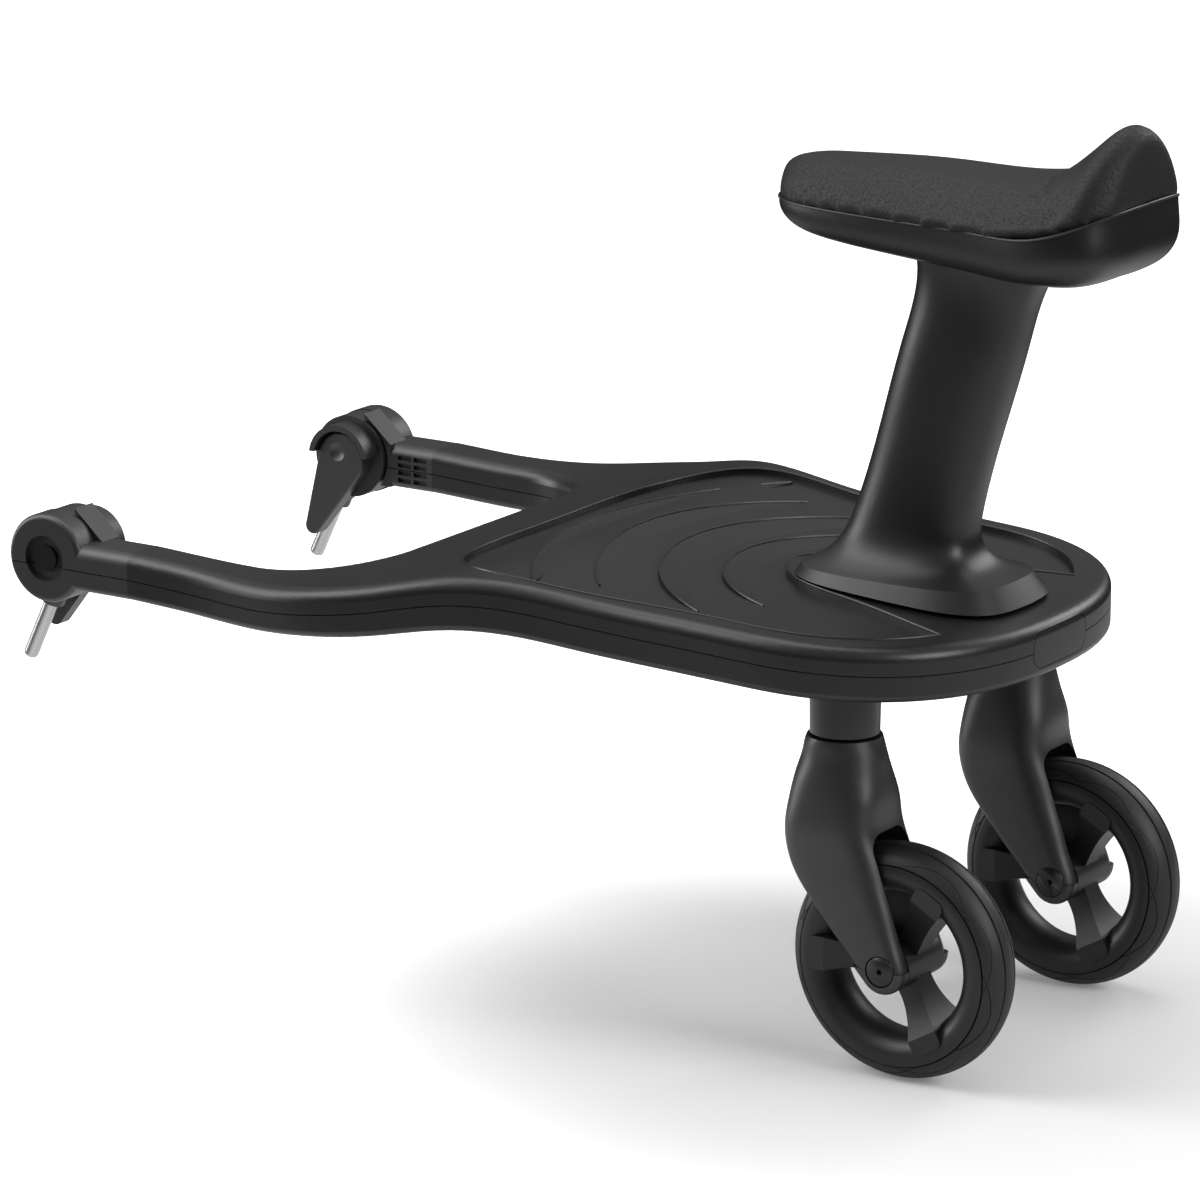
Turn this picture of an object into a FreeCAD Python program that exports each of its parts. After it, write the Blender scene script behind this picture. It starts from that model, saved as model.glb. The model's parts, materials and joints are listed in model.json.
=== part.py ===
import FreeCAD, Part
import math
import os
from types import SimpleNamespace

import Sketcher
from FreeCAD import Placement, Rotation, Vector

# Ride-on board with a saddle seat that follows behind a pushchair, in millimetres.
# +X points forward to the coupling pins, +Y to the left and +Z up. The origin is on
# the floor under the middle of the object. Fore-and-aft places are measured from the
# wheel axle, which axle_x sets.

DIMENSIONS = {
    # wheels
    "axle_x": -219.86,
    "wheel_track": 175,
    "tyre_diameter": 122,
    "tyre_width": 30,
    "ring_depth": 13,
    "tread_thickness": 9,
    "tread_groove_width": 1.2,
    "tread_groove_depth": 0.9,
    "tread_groove_spacing": 9,
    "rim_inner_diameter": 73,
    "hub_diameter": 25,
    "hub_web": 14,
    "spoke_count": 3,
    "spoke_width": 17.5,
    "spoke_neck": 12.5,
    "spoke_reach": 47,
    "spoke_overlap": 9,
    "spoke_proud": 0.5,
    "spoke_corner": 4,
    "bearing_diameter": 16,
    "bearing_length": 11,
    "axle_diameter": 8,
    "axle_head_diameter": 15.5,
    "axle_head_thickness": 3,
    "axle_head_gap": 0.4,
    # caster forks
    "caster_trail": 36,
    "fork_top": 173,
    "fork_neck_diameter": 38,
    "fork_shoulder_height": 128,
    "fork_depth": 51,
    "fork_leg_thickness": 8,
    "leg_end_radius": 12.5,
    "leg_toe": 1.36,
    "leg_edge_round": 4,
    "arch_round": 10,
    "wheel_side_gap": 2,
    "wheel_top_gap": 6,
    "stem_diameter": 12,
    "stem_seat": 24,
    "stem_above_bush": 6,
    "bush_diameter": 20,
    "bush_flange_diameter": 28,
    "bush_flange": 1.2,
    "bush_length": 25.5,
    "clip_thickness": 1.1,
    "clip_diameter": 18,
    "clip_groove": 1,
    # deck outline
    "deck_overhang": 38,
    "deck_tail": 113,
    "deck_waist_width": 273,
    "bulge_x": 298,
    "bulge_width": 337,
    "arm_outer_width": 310.4,
    "arm_width": 30.7,
    "arm_straight": 33,
    "arm_end_x": 433,
    "crotch_x": 314.5,
    "crotch_radius": 55,
    "tail_squareness": 2.35,
    # deck heights
    "parting_rear": 210.8,
    "parting_middle": 216.6,
    "parting_waist": 220.4,
    "parting_crown": 226.2,
    "parting_bulge": 213.4,
    "parting_dip": 207.4,
    "parting_tip": 209.8,
    "middle_x": 65,
    "waist_x": 145,
    "crown_x": 218,
    "dip_x": 362,
    "deck_upper": 13.5,
    "deck_lower": 14,
    "arm_upper": 13.2,
    "arm_lower": 11.3,
    "parting_gap": 0.5,
    "rim_radius": 7,
    "sole_radius": 3.5,
    "boss_diameter": 36.5,
    "boss_draft": 0.5,
    # tread
    "tread_depth": 3,
    "tread_front_x": 269,
    "tread_half_width": 120,
    "tread_tail": 94,
    "tread_bow": 8,
    "tread_corner": 40,
    "pad_tip_x": 119,
    "pad_length": 179,
    "pad_half_width": 86,
    "ridge_height": 2.4,
    "ridge_margin": 8,
    "ridge_reach": 107,
    "ridge_count": 4,
    "ridge_first_radius": 80,
    "ridge_first_x": 68,
    "ridge_step": 37,
    "ridge_shift": -5,
    "ridge_breadth": 17,
    # seat release
    "button_width": 53,
    "button_height": 18.4,
    "button_corner": 7,
    "button_rise": 0.6,
    "button_depth": 10,
    "button_travel": 4.5,
    "button_gap": 0.4,
    "tongue_width": 16,
    "tongue_height": 5,
    "spring_diameter": 7,
    "spring_spread": 34,
    # seat fitting
    "socket_x": 46,
    "socket_length": 66,
    "socket_width": 56,
    "socket_wall": 2.5,
    "socket_corner": 8,
    "socket_floor_z": 209.5,
    "socket_top": 225,
    "spigot_gap": 0.5,
    "spigot_top": 244,
    "latch_height": 3,
    "latch_z": 216,
    "latch_bar": 2.4,
    "latch_nib": 18,
    "latch_bite": 2,
    "latch_room": 5.4,
    "bay_margin": 5,
    # seat
    "foot_length": 124,
    "foot_width": 89,
    "foot_bevel": 5,
    "foot_gap": 2.2,
    "foot_squareness": 3.4,
    "foot_x": 46.5,
    "foot_skirt": 9.5,
    "post_length": 66,
    "post_width": 42,
    "post_lean": 15.9,
    "post_shift": 7.5,
    "post_head": 9,
    "seat_front": 125.5,
    "seat_rear": 81,
    "seat_width": 106,
    "seat_nose_width": 62,
    "seam_height": 424.5,
    "seam_rise": 15,
    "seam_sunk": 2,
    "pan_bottom": 397,
    "pan_nose_bottom": 408,
    "cushion_height": 20,
    "backrest_height": 475.5,
    # adapters
    "drum_x": 488,
    "drum_z": 213.4,
    "drum_radius": 24,
    "cheek_thickness": 15.5,
    "cheek_round": 3,
    "carrier_width": 17,
    "hood_depth": 12,
    "hood_wall": 3.4,
    "hood_gap": 1.6,
    "hood_lift": 3,
    "wrap_wall": 3,
    "flank_length": 24,
    "window_diameter": 25,
    "window_depth": 3,
    "pivot_diameter": 14,
    "pin_diameter": 8,
    "pin_root_diameter": 7,
    "pin_reach": 70,
    "pin_slant": 25.9,
    "collar_diameter": 14,
    "collar_reach": 33,
    "collar_root_diameter": 24,
    "lever_head": 30,
    "lever_thickness": 9,
    "lever_reach": 46,
    "lever_tip": 5,
    "vent_length": 9,
    "vent_height": 2.6,
    "vent_rib": 1.7,
    "vent_depth": 2,
    # screws and clearances
    "screw_diameter": 4,
    "screw_head": 8,
    "screw_bite": 8,
    "screw_inset": 20,
    "screw_rear_x": 118,
    "screw_middle_x": 215,
    "screw_front_x": 318,
    "screw_recess": 4,
    "screw_head_height": 2.4,
    "running_gap": 0.3,
    "shaft_fit": 0.05,
}

doc = FreeCAD.newDocument("buggy_board")
sheet = doc.addObject("Spreadsheet::Sheet", "dims")
for row, (alias, number) in enumerate(DIMENSIONS.items(), start=1):
    sheet.set(f"A{row}", alias)
    sheet.set(f"B{row}", str(number))
    sheet.setAlias(f"B{row}", alias)
doc.recompute()


class Size:
    """A length that carries its number and the sheet expression behind it."""

    def __init__(self, number, text):
        self.number = number
        self.text = text

    def __float__(self):
        return float(self.number)

    def __neg__(self):
        return Size(-self.number, f"(-{self.text})")

    def __add__(self, other):
        return Size(self.number + float(other), f"({self.text} + {text_of(other)})")

    def __sub__(self, other):
        return Size(self.number - float(other), f"({self.text} - {text_of(other)})")

    def __mul__(self, other):
        return Size(self.number * float(other), f"({self.text} * {text_of(other)})")

    def __truediv__(self, other):
        return Size(self.number / float(other), f"({self.text} / {text_of(other)})")


def text_of(size):
    return size.text if isinstance(size, Size) else str(size)


# D holds sizes for features that are bound to the sheet, v their plain numbers
D = SimpleNamespace(**{name: Size(float(sheet.get(name)), f"dims.{name}") for name in DIMENSIONS})
v = SimpleNamespace(**{name: float(sheet.get(name)) for name in DIMENSIONS})

ORIGIN = Vector(0, 0, 0)
FORWARD = Vector(1, 0, 0)
LEFT = Vector(0, 1, 0)
UP = Vector(0, 0, 1)
ROOM = 400
nodes = []


# Document helpers


def keep(obj, label):
    """Register an object as a sub-part that is written to a file."""
    obj.Label = label
    nodes.append(obj)
    return obj


def feature(label, shape):
    obj = doc.addObject("Part::Feature", label)
    obj.Shape = shape
    return keep(obj, label)


def mirrored(source, label):
    """The right-hand piece as the left one's mirror image."""
    obj = doc.addObject("Part::Mirroring", label)
    obj.Source = source
    obj.Normal = LEFT
    obj.Base = ORIGIN
    return keep(obj, label)


def pair(obj, stem):
    """Name a left-hand piece and add its right-hand twin."""
    keep(obj, f"{stem}_left")
    mirrored(obj, f"{stem}_right")
    return obj


def place(obj, x=0, y=0, z=0):
    for axis, size in zip("xyz", (x, y, z)):
        obj.setExpression(f"Placement.Base.{axis}", text_of(size))
    return obj


def new_body(name):
    return doc.addObject("PartDesign::Body", name)


def new_sketch(body, name, role):
    sketch = body.newObject("Sketcher::SketchObject", name)
    plane = next(item for item in body.Origin.OriginFeatures if item.Role == role)
    sketch.AttachmentSupport = [(plane, "")]
    sketch.MapMode = "FlatFace"
    return sketch


def polygon(sketch, corners):
    """Close a polygon whose corners follow the sheet."""
    first = sketch.GeometryCount
    count = len(corners)
    for index, (x, y) in enumerate(corners):
        x2, y2 = corners[(index + 1) % count]
        start = Vector(float(x), float(y))
        sketch.addGeometry(Part.LineSegment(start, Vector(float(x2), float(y2))))
    for index in range(count):
        follower = first + (index + 1) % count
        sketch.addConstraint(Sketcher.Constraint("Coincident", first + index, 2, follower, 1))
    for index, corner in enumerate(corners):
        for kind, size in zip(("DistanceX", "DistanceY"), corner):
            rule = Sketcher.Constraint(kind, -1, 1, first + index, 1, float(size))
            number = sketch.addConstraint(rule)
            if isinstance(size, Size):
                sketch.setExpression(f"Constraints[{number}]", size.text)


def revolution(body, name, role, corners, kind="PartDesign::Revolution"):
    """Turn a profile about the vertical axis of its sketch."""
    sketch = new_sketch(body, name + "_profile", role)
    polygon(sketch, corners)
    turn = body.newObject(kind, name)
    turn.Profile = sketch
    turn.ReferenceAxis = (sketch, ["V_Axis"])
    turn.Angle = 360
    doc.recompute()
    return turn


def middle(edge):
    return edge.valueAt((edge.FirstParameter + edge.LastParameter) / 2)


def round_shape(shape, radius, test):
    return shape.makeFillet(radius, [edge for edge in shape.Edges if test(middle(edge))])


def spline(points):
    curve = Part.BSplineCurve()
    curve.interpolate(Points=points)
    return curve.toShape()


def closed_spline(points):
    curve = Part.BSplineCurve()
    curve.interpolate(Points=points, PeriodicFlag=True)
    return curve.toShape()


def line(start, end):
    return Part.LineSegment(start, end).toShape()


def flipped(points):
    """The same points on the other side of the middle plane, in reverse order."""
    return [Vector(p.x, -p.y, p.z) for p in reversed(points)]


def prism(edges, depth):
    return Part.Face(Part.Wire(edges)).extrude(depth)


def block(x1, x2, y1, y2, z1, z2):
    return Part.makeBox(x2 - x1, y2 - y1, z2 - z1, Vector(x1, y1, z1))


def cylinder(radius, start, direction, length):
    return Part.makeCylinder(radius, length, start, direction)


def rounded_section(x, z, length, width, power):
    """A closed section between an oval and a rounded rectangle."""
    count = 24
    points = []
    for index in range(count):
        angle = 2 * math.pi * (index + 0.5) / count
        ahead = math.copysign(abs(math.cos(angle)) ** (2 / power), math.cos(angle))
        aside = math.copysign(abs(math.sin(angle)) ** (2 / power), math.sin(angle))
        points.append(Vector(x + length / 2 * ahead, width / 2 * aside, z))
    return Part.Wire([closed_spline(points)])


def smooth_loft(sections):
    degree = 3
    return Part.makeLoft(sections, True, False, False, degree)


def from_axle(offset):
    """X of a place that is measured forward from the wheel axle."""
    return v.axle_x + offset


# Derived sizes shared by several pieces

wheel_radius = v.tyre_diameter / 2
side_y = v.wheel_track / 2
swivel_x = from_axle(v.caster_trail)
slot_half = v.tyre_width / 2 + v.wheel_side_gap
fork_half = slot_half + v.fork_leg_thickness
boss_bottom = v.fork_top + v.running_gap + v.bush_flange
bush_top = boss_bottom + v.bush_length
drum_outer_y = v.arm_outer_width / 2
cheek_inner_y = drum_outer_y - v.cheek_thickness
carrier_outer_y = cheek_inner_y - v.running_gap
carrier_inner_y = carrier_outer_y - v.carrier_width
hood_inner_y = carrier_inner_y - v.hood_depth
pin_y = carrier_outer_y - v.carrier_width / 2
drum_centre = Vector(from_axle(v.drum_x), 0, v.drum_z)
slant = math.radians(v.pin_slant)
pin_direction = Vector(math.sin(slant), 0, -math.cos(slant))
lean = math.tan(math.radians(v.post_lean))
arm_inner_y = v.arm_outer_width / 2 - v.arm_width


# Height curves of the deck, as functions of the distance forward from the axle


def smooth_curve(stations, x):
    """Height at x on a smooth curve through stations, with no overshoot between them."""
    places = [station for station, _ in stations]
    heights = [height for _, height in stations]
    steps = [(heights[i + 1] - heights[i]) / (places[i + 1] - places[i]) for i in range(len(places) - 1)]
    slopes = [steps[0]]
    for before, after in zip(steps, steps[1:]):
        slopes.append(2 * before * after / (before + after) if before * after > 0 else 0)
    slopes.append(steps[-1])
    if x <= places[0]:
        return heights[0] + slopes[0] * (x - places[0])
    if x >= places[-1]:
        return heights[-1] + slopes[-1] * (x - places[-1])
    index = max(i for i, station in enumerate(places[:-1]) if station <= x)
    span = places[index + 1] - places[index]
    t = (x - places[index]) / span
    start = heights[index] * (1 + 2 * t) * (1 - t) ** 2 + slopes[index] * span * t * (1 - t) ** 2
    return start + heights[index + 1] * t * t * (3 - 2 * t) + slopes[index + 1] * span * t * t * (t - 1)


def arm_blend(x):
    """0 on the deck, 1 on the arms, with a smooth change between."""
    share = (x - v.crown_x) / (v.dip_x - v.crown_x)
    share = min(max(share, 0), 1)
    return share * share * (3 - 2 * share)


def parting_height(x):
    """The line where the two shells meet: it climbs to a crown, dips and rises along the arms."""
    return smooth_curve([
        (-v.deck_overhang, v.parting_rear), (v.middle_x, v.parting_middle), (v.waist_x, v.parting_waist),
        (v.crown_x, v.parting_crown), (v.bulge_x, v.parting_bulge), (v.dip_x, v.parting_dip),
        (v.arm_end_x, v.parting_tip)], x)


def top_height(x):
    blend = arm_blend(x)
    return parting_height(x) + v.deck_upper * (1 - blend) + v.arm_upper * blend


def sole_height(x):
    blend = arm_blend(x)
    return parting_height(x) - v.deck_lower * (1 - blend) - v.arm_lower * blend


def band(low, high):
    """The space between two height curves, over the whole width."""
    stations = 15
    first = -v.deck_overhang - 20
    step = (v.arm_end_x + 20 - first) / (stations - 1)
    places = [first + step * i for i in range(stations)]
    under = [Vector(from_axle(x), -ROOM, low(x)) for x in places]
    over = [Vector(from_axle(x), -ROOM, high(x)) for x in reversed(places)]
    edges = [spline(under), line(under[-1], over[0]), spline(over), line(over[-1], under[0])]
    return prism(edges, Vector(0, 2 * ROOM, 0))


def raised(curve, amount):
    return lambda x: curve(x) + amount


# Deck


def plan(x, y):
    return Vector(from_axle(x), y, 0)


def tail_points(x, length, half_width):
    """Places on the squared half oval that closes an outline at the rear, from left to right."""
    power = v.tail_squareness
    count = 15
    points = []
    for index in range(count):
        angle = math.pi * index / (count - 1)
        reach = abs(math.sin(angle)) ** (2 / power)
        aside = math.copysign(abs(math.cos(angle)) ** (2 / power), math.cos(angle))
        points.append(plan(x - length * reach, half_width * aside))
    return points


def deck_edges():
    tail_x = v.deck_tail - v.deck_overhang
    outer = v.arm_outer_width / 2
    inner = arm_inner_y
    straight_x = v.arm_end_x - v.arm_straight
    bend = v.crotch_radius
    side = [
        plan(v.arm_end_x, outer),
        plan((v.arm_end_x + straight_x) / 2, outer),
        plan(straight_x, outer),
        plan(v.bulge_x, v.bulge_width / 2),
        plan(tail_x + (v.bulge_x - tail_x) * 0.545, v.deck_waist_width * 0.35 + v.bulge_width * 0.15),
    ]
    rim = spline(side + tail_points(tail_x, v.deck_tail, v.deck_waist_width / 2) + flipped(side))
    bend_centre = plan(v.crotch_x + bend, inner - bend)
    tip_inner = plan(v.arm_end_x, inner)
    corner = [
        plan(v.crotch_x + bend, inner),
        bend_centre + Vector(-bend, bend, 0) * math.sqrt(0.5),
        plan(v.crotch_x, inner - bend),
    ]
    far_corner = flipped(corner)
    far_outer, far_inner = [Vector(p.x, -p.y, 0) for p in (side[0], tip_inner)]
    return [
        rim,
        line(far_outer, far_inner),
        line(far_inner, far_corner[-1]),
        Part.Arc(*reversed(far_corner)).toShape(),
        line(far_corner[0], corner[-1]),
        Part.Arc(*reversed(corner)).toShape(),
        line(corner[0], tip_inner),
        line(tip_inner, side[0]),
    ]


def tread_prism(margin):
    """The dished tread: wide in front, drawn in round the seat's pad at the rear."""
    tail_x = v.deck_tail - v.deck_overhang
    half = v.tread_half_width - margin
    front_x = v.tread_front_x - margin
    front = [
        plan(tail_x + (front_x - tail_x) * 0.45, half + v.tread_bow),
        plan(front_x - v.tread_corner, half + v.tread_bow),
        plan(front_x - v.tread_corner * 0.28, half * 0.83),
    ]
    right = [Vector(p.x, -p.y, 0) for p in front]
    loop = tail_points(tail_x, v.tread_tail - margin, half) + right + [plan(front_x, 0)] + front[::-1]
    tread = prism([closed_spline(loop)], UP * ROOM)
    tip = v.pad_tip_x
    pad = [
        plan(tip - v.pad_length, v.pad_half_width),
        plan(tip - v.pad_length * 0.71, v.pad_half_width * 0.81),
        plan(tip - v.pad_length * 0.36, v.pad_half_width * 0.55),
        plan(tip - v.pad_length * 0.07, v.pad_half_width * 0.29),
    ]
    pad += [plan(tip, 0)] + flipped(pad)
    pad_edges = [spline(pad), line(pad[-1], pad[0])]
    return tread.cut(prism(pad_edges, UP * ROOM))


def ridge_floor(x):
    return top_height(x) - v.tread_depth


def ridge_wave(index):
    """A crescent that climbs forward to a steep front edge and fades out to both sides."""
    radius = v.ridge_first_radius + v.ridge_step * index
    centre_x = v.ridge_first_x + v.ridge_shift * index
    reach = min(v.ridge_reach, radius * 0.96)
    ends = math.sqrt(radius ** 2 - reach ** 2)
    bow = radius - v.ridge_breadth - ends
    inner = (reach ** 2 + bow ** 2) / (2 * bow)
    rise = v.ridge_height
    sunk = v.ridge_height / 2
    slope = rise / v.ridge_breadth
    wave = cylinder(radius, UP * -sunk, UP, rise + sunk)
    hollow = Part.makeCone(inner - sunk / slope, inner + 2 * rise / slope, 2 * rise + sunk,
                           Vector(ends + bow - inner, 0, -sunk), UP)
    wave = wave.cut(hollow)
    near = ridge_floor(centre_x + ends)
    far = ridge_floor(centre_x + radius)
    climb = (far - near) / (radius - ends)
    turn = Rotation(LEFT, -math.degrees(math.atan(climb)))
    wave.Placement = Placement(plan(centre_x, 0) + UP * (far - climb * radius), turn)
    return wave


def screw_places():
    """X from the axle and Y of the screws that hold the two shells together."""
    waist = v.deck_waist_width / 2
    bulge = v.bulge_width / 2
    left = [
        (v.screw_rear_x, waist - v.screw_inset),
        (v.screw_middle_x, (waist + bulge) / 2 - v.screw_inset),
        (v.screw_front_x, bulge - v.screw_inset),
    ]
    return [(x, y * side) for x, y in left for side in (1, -1)]


def screw_head_height(x):
    return sole_height(x) + v.screw_recess


def button_prism(gap):
    """The release button's rounded outline, run forward from behind the deck."""
    half = v.button_width / 2 + gap
    height = v.button_height / 2 + gap
    x1 = from_axle(-v.deck_overhang - 10)
    x2 = from_axle(-v.deck_overhang + v.button_depth)
    if gap > 0:
        x2 += v.button_travel * 2
    shape = block(x1, x2, -half, half, button_z() - height, button_z() + height)
    return round_shape(shape, v.button_corner + gap, lambda p: abs(abs(p.y) - half) < 1e-6
                       and abs(abs(p.z - button_z()) - height) < 1e-6)


def button_z():
    return v.parting_rear + v.button_rise


def socket_box(margin, low, high):
    x = from_axle(v.socket_x)
    half_x = v.socket_length / 2 + margin
    half_y = v.socket_width / 2 + margin
    shape = block(x - half_x, x + half_x, -half_y, half_y, low, high)
    corner = v.socket_corner + margin
    return round_shape(shape, corner, lambda p: abs(abs(p.y) - half_y) < 1e-6
                       and abs(abs(p.x - x) - half_x) < 1e-6)


def latch_bay():
    """Room between the shells for the latch and the button's tongue."""
    x1 = from_axle(-v.deck_overhang + v.button_depth + v.button_travel * 2)
    x2 = from_axle(v.socket_x + v.socket_length / 2 + v.bay_margin)
    half = v.socket_width / 2 + 2 * v.bay_margin
    return block(x1, x2, -half, half, v.socket_floor_z, v.latch_z + v.latch_height + 2 * v.running_gap)


def tongue_slot(gap):
    x1 = from_axle(-v.deck_overhang + v.button_depth / 2)
    x2 = from_axle(tongue_tip_x())
    if gap > 0:
        x2 += v.button_travel + gap
    half = v.tongue_width / 2 + gap
    z = v.latch_z + v.latch_height / 2
    rise = v.tongue_height / 2 + gap
    return block(x1, x2, -half, half, z - rise, z + rise)


def tongue_tip_x():
    return v.socket_x - v.socket_length / 2 - v.latch_room - v.latch_bar - v.running_gap


outline_prism = prism(deck_edges(), UP * ROOM)

upper_blank = outline_prism.common(band(parting_height, top_height))
upper_blank = round_shape(
    upper_blank, v.rim_radius,
    lambda p: abs(p.z - top_height(p.x - v.axle_x)) < 0.1 and p.x < from_axle(v.arm_end_x) - 0.1)

under_parting = raised(parting_height, -v.parting_gap)
lower_blank = outline_prism.common(band(sole_height, under_parting))
lower_blank = round_shape(
    lower_blank, v.sole_radius,
    lambda p: abs(p.z - sole_height(p.x - v.axle_x)) < 0.1 and p.x < from_axle(v.arm_end_x) - 0.1)


def upper_shell():
    floor = raised(top_height, -v.tread_depth)
    tread = tread_prism(0)
    shell = upper_blank.cut(tread.common(band(floor, raised(top_height, v.deck_upper))))
    ridge_room = tread_prism(v.ridge_margin)
    for index in range(int(v.ridge_count)):
        shell = shell.fuse(ridge_wave(index).common(ridge_room))
    shell = shell.cut(latch_bay())
    shell = shell.cut(socket_box(v.running_gap, 0, ROOM))
    shell = shell.cut(button_prism(v.button_gap))
    shell = shell.cut(tongue_slot(1))
    for x, y in screw_places():
        start = Vector(from_axle(x), y, 0)
        shell = shell.cut(cylinder(v.screw_diameter / 2, start, UP, parting_height(x) + v.screw_bite))
    return shell.removeSplitter()


def lower_shell():
    shell = lower_blank
    for side in (1, -1):
        centre = Vector(swivel_x, side_y * side, boss_bottom)
        height = parting_height(v.caster_trail) - 6 - boss_bottom
        radius = v.boss_diameter / 2
        shell = shell.fuse(Part.makeCone(radius - v.boss_draft, radius, height, centre, UP))
        shell = shell.cut(cylinder(v.bush_diameter / 2, centre, UP, v.bush_length))
        pocket = Vector(swivel_x, side_y * side, bush_top)
        shell = shell.cut(cylinder(v.clip_diameter / 2 + 2, pocket, UP, ROOM))
    shell = shell.cut(latch_bay())
    shell = shell.cut(button_prism(v.button_gap))
    shell = shell.cut(tongue_slot(1))
    for x, y in screw_places():
        start = Vector(from_axle(x), y, 0)
        shell = shell.cut(cylinder(v.screw_diameter / 2, start, UP, ROOM))
        shell = shell.cut(cylinder(v.screw_head / 2, start, UP, screw_head_height(x)))
    return shell.removeSplitter()


def screw(x, y):
    """A pan-head screw driven up from below."""
    seat = screw_head_height(x)
    start = Vector(from_axle(x), y, seat)
    shank = cylinder(v.screw_diameter / 2, start, UP, parting_height(x) + v.screw_bite - seat)
    head = cylinder(v.screw_head / 2, start, -UP, v.screw_head_height)
    return shank.fuse(head).removeSplitter()


feature("deck_upper", upper_shell())
feature("deck_lower", lower_shell())
feature("deck_screws", Part.makeCompound([screw(x, y) for x, y in screw_places()]))


# Seat socket, latch and release button


def nib_half():
    return v.latch_nib / 2


def latch_clip():
    """A spring bow round the socket whose two nibs bite into the seat's spigot."""
    x = from_axle(v.socket_x)
    rear = from_axle(tongue_tip_x() + v.running_gap)
    inside = v.socket_width / 2 + 1.2
    outside = inside + v.latch_bar
    z1 = v.latch_z
    z2 = z1 + v.latch_height
    bite = v.socket_width / 2 - v.socket_wall - v.spigot_gap - v.latch_bite + v.running_gap
    clip = block(rear, rear + v.latch_bar, -outside, outside, z1, z2)
    for side in (1, -1):
        low, high = sorted((inside * side, outside * side))
        clip = clip.fuse(block(rear, x + nib_half(), low, high, z1, z2))
        low, high = sorted((bite * side, outside * side))
        clip = clip.fuse(block(x - nib_half(), x + nib_half(), low, high, z1, z2))
    return clip.removeSplitter()


def nib_windows(reach):
    """Openings that let the latch's nibs through."""
    x = from_axle(v.socket_x)
    gap = v.running_gap
    return block(x - nib_half() - gap, x + nib_half() + gap, -reach, reach,
                 v.latch_z - gap, v.latch_z + v.latch_height + gap)


def socket_tray():
    inside_low = v.socket_floor_z + v.socket_wall
    tray = socket_box(0, v.socket_floor_z, v.socket_top)
    tray = tray.cut(socket_box(-v.socket_wall, inside_low, ROOM))
    return tray.cut(nib_windows(ROOM))


def spigot():
    low = v.socket_floor_z + v.socket_wall + v.spigot_gap
    plug = socket_box(-v.socket_wall - v.spigot_gap, low, v.spigot_top)
    half = v.socket_width / 2 - v.socket_wall - v.spigot_gap
    notches = nib_windows(ROOM).cut(nib_windows(half - v.latch_bite))
    return plug.cut(notches)


def release_button():
    cap = button_prism(0)
    cap = cap.common(upper_blank).fuse(cap.common(lower_blank)).fuse(
        cap.common(outline_prism).common(band(raised(under_parting, -0.1), raised(parting_height, 0.1))))
    return cap.fuse(tongue_slot(0)).removeSplitter()


def button_springs():
    x1 = from_axle(-v.deck_overhang + v.button_depth)
    length = v.button_travel * 2
    springs = []
    for side in (1, -1):
        start = Vector(x1, side * v.spring_spread / 2, button_z())
        outer = cylinder(v.spring_diameter / 2, start, FORWARD, length)
        springs.append(outer.cut(cylinder(v.spring_diameter / 2 - 1, start, FORWARD, length)))
    return Part.makeCompound(springs)


feature("seat_socket", socket_tray())
feature("seat_latch_clip", latch_clip())
feature("release_button", release_button())
feature("button_springs", button_springs())


# Wheels, turned about Y and set at the axle


def wheel_part(body, stem):
    place(body, D.axle_x, D.wheel_track / 2, D.tyre_diameter / 2)
    pair(body, stem)


half_tyre = D.tyre_width / 2


def at_radius(edge, radius):
    curve = edge.Curve
    return hasattr(curve, "Radius") and abs(curve.Radius - radius) < 1e-6


def half_oval(centre, aside, reach):
    """Half an ellipse, from one side of its centre through its reach to the other side."""
    if aside.Length >= reach.Length:
        return Part.ArcOfEllipse(Part.Ellipse(centre + aside, centre + reach, centre), 0, math.pi).toShape()
    oval = Part.Ellipse(centre + reach, centre - aside, centre)
    return Part.ArcOfEllipse(oval, -math.pi / 2, math.pi / 2).toShape()


def fat_ring():
    """Wheel ring and tyre together, with an oval section."""
    middle = Vector(ring_middle, 0, 0)
    outer = half_oval(middle, LEFT * half_width, FORWARD * v.ring_depth)
    inner = half_oval(middle, LEFT * half_width, FORWARD * (v.rim_inner_diameter / 2 - ring_middle))
    return turned(Part.Face(Part.Wire([outer, inner])))


def tread_bed():
    """Drum on which the tyre sits."""
    return cylinder(tread_radius, LEFT * -half_width, LEFT, 2 * half_width)


def turned(face):
    """Turn a section about the axle, which lies along Y."""
    return face.revolve(ORIGIN, LEFT, 360)


def at_axle(shape):
    shape.translate(Vector(v.axle_x, side_y, wheel_radius))
    return shape


tread_radius = wheel_radius - v.tread_thickness
ring_middle = wheel_radius - v.ring_depth
half_width = v.tyre_width / 2


def tyre_shape():
    """Rounded tread with two fine grooves along its crown."""
    tyre = fat_ring().cut(tread_bed())
    for sign in (1, -1):
        groove_y = sign * v.tread_groove_spacing / 2
        low = groove_y - v.tread_groove_width / 2
        high = groove_y + v.tread_groove_width / 2
        crown = ring_middle + v.ring_depth * math.sqrt(1 - (groove_y / half_width) ** 2)
        deep = crown - v.tread_groove_depth
        corners = [Vector(deep, low, 0), Vector(ROOM, low, 0), Vector(ROOM, high, 0), Vector(deep, high, 0)]
        tyre = tyre.cut(turned(Part.Face(Part.makePolygon(corners + corners[:1]))))
    return at_axle(tyre)


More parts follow.
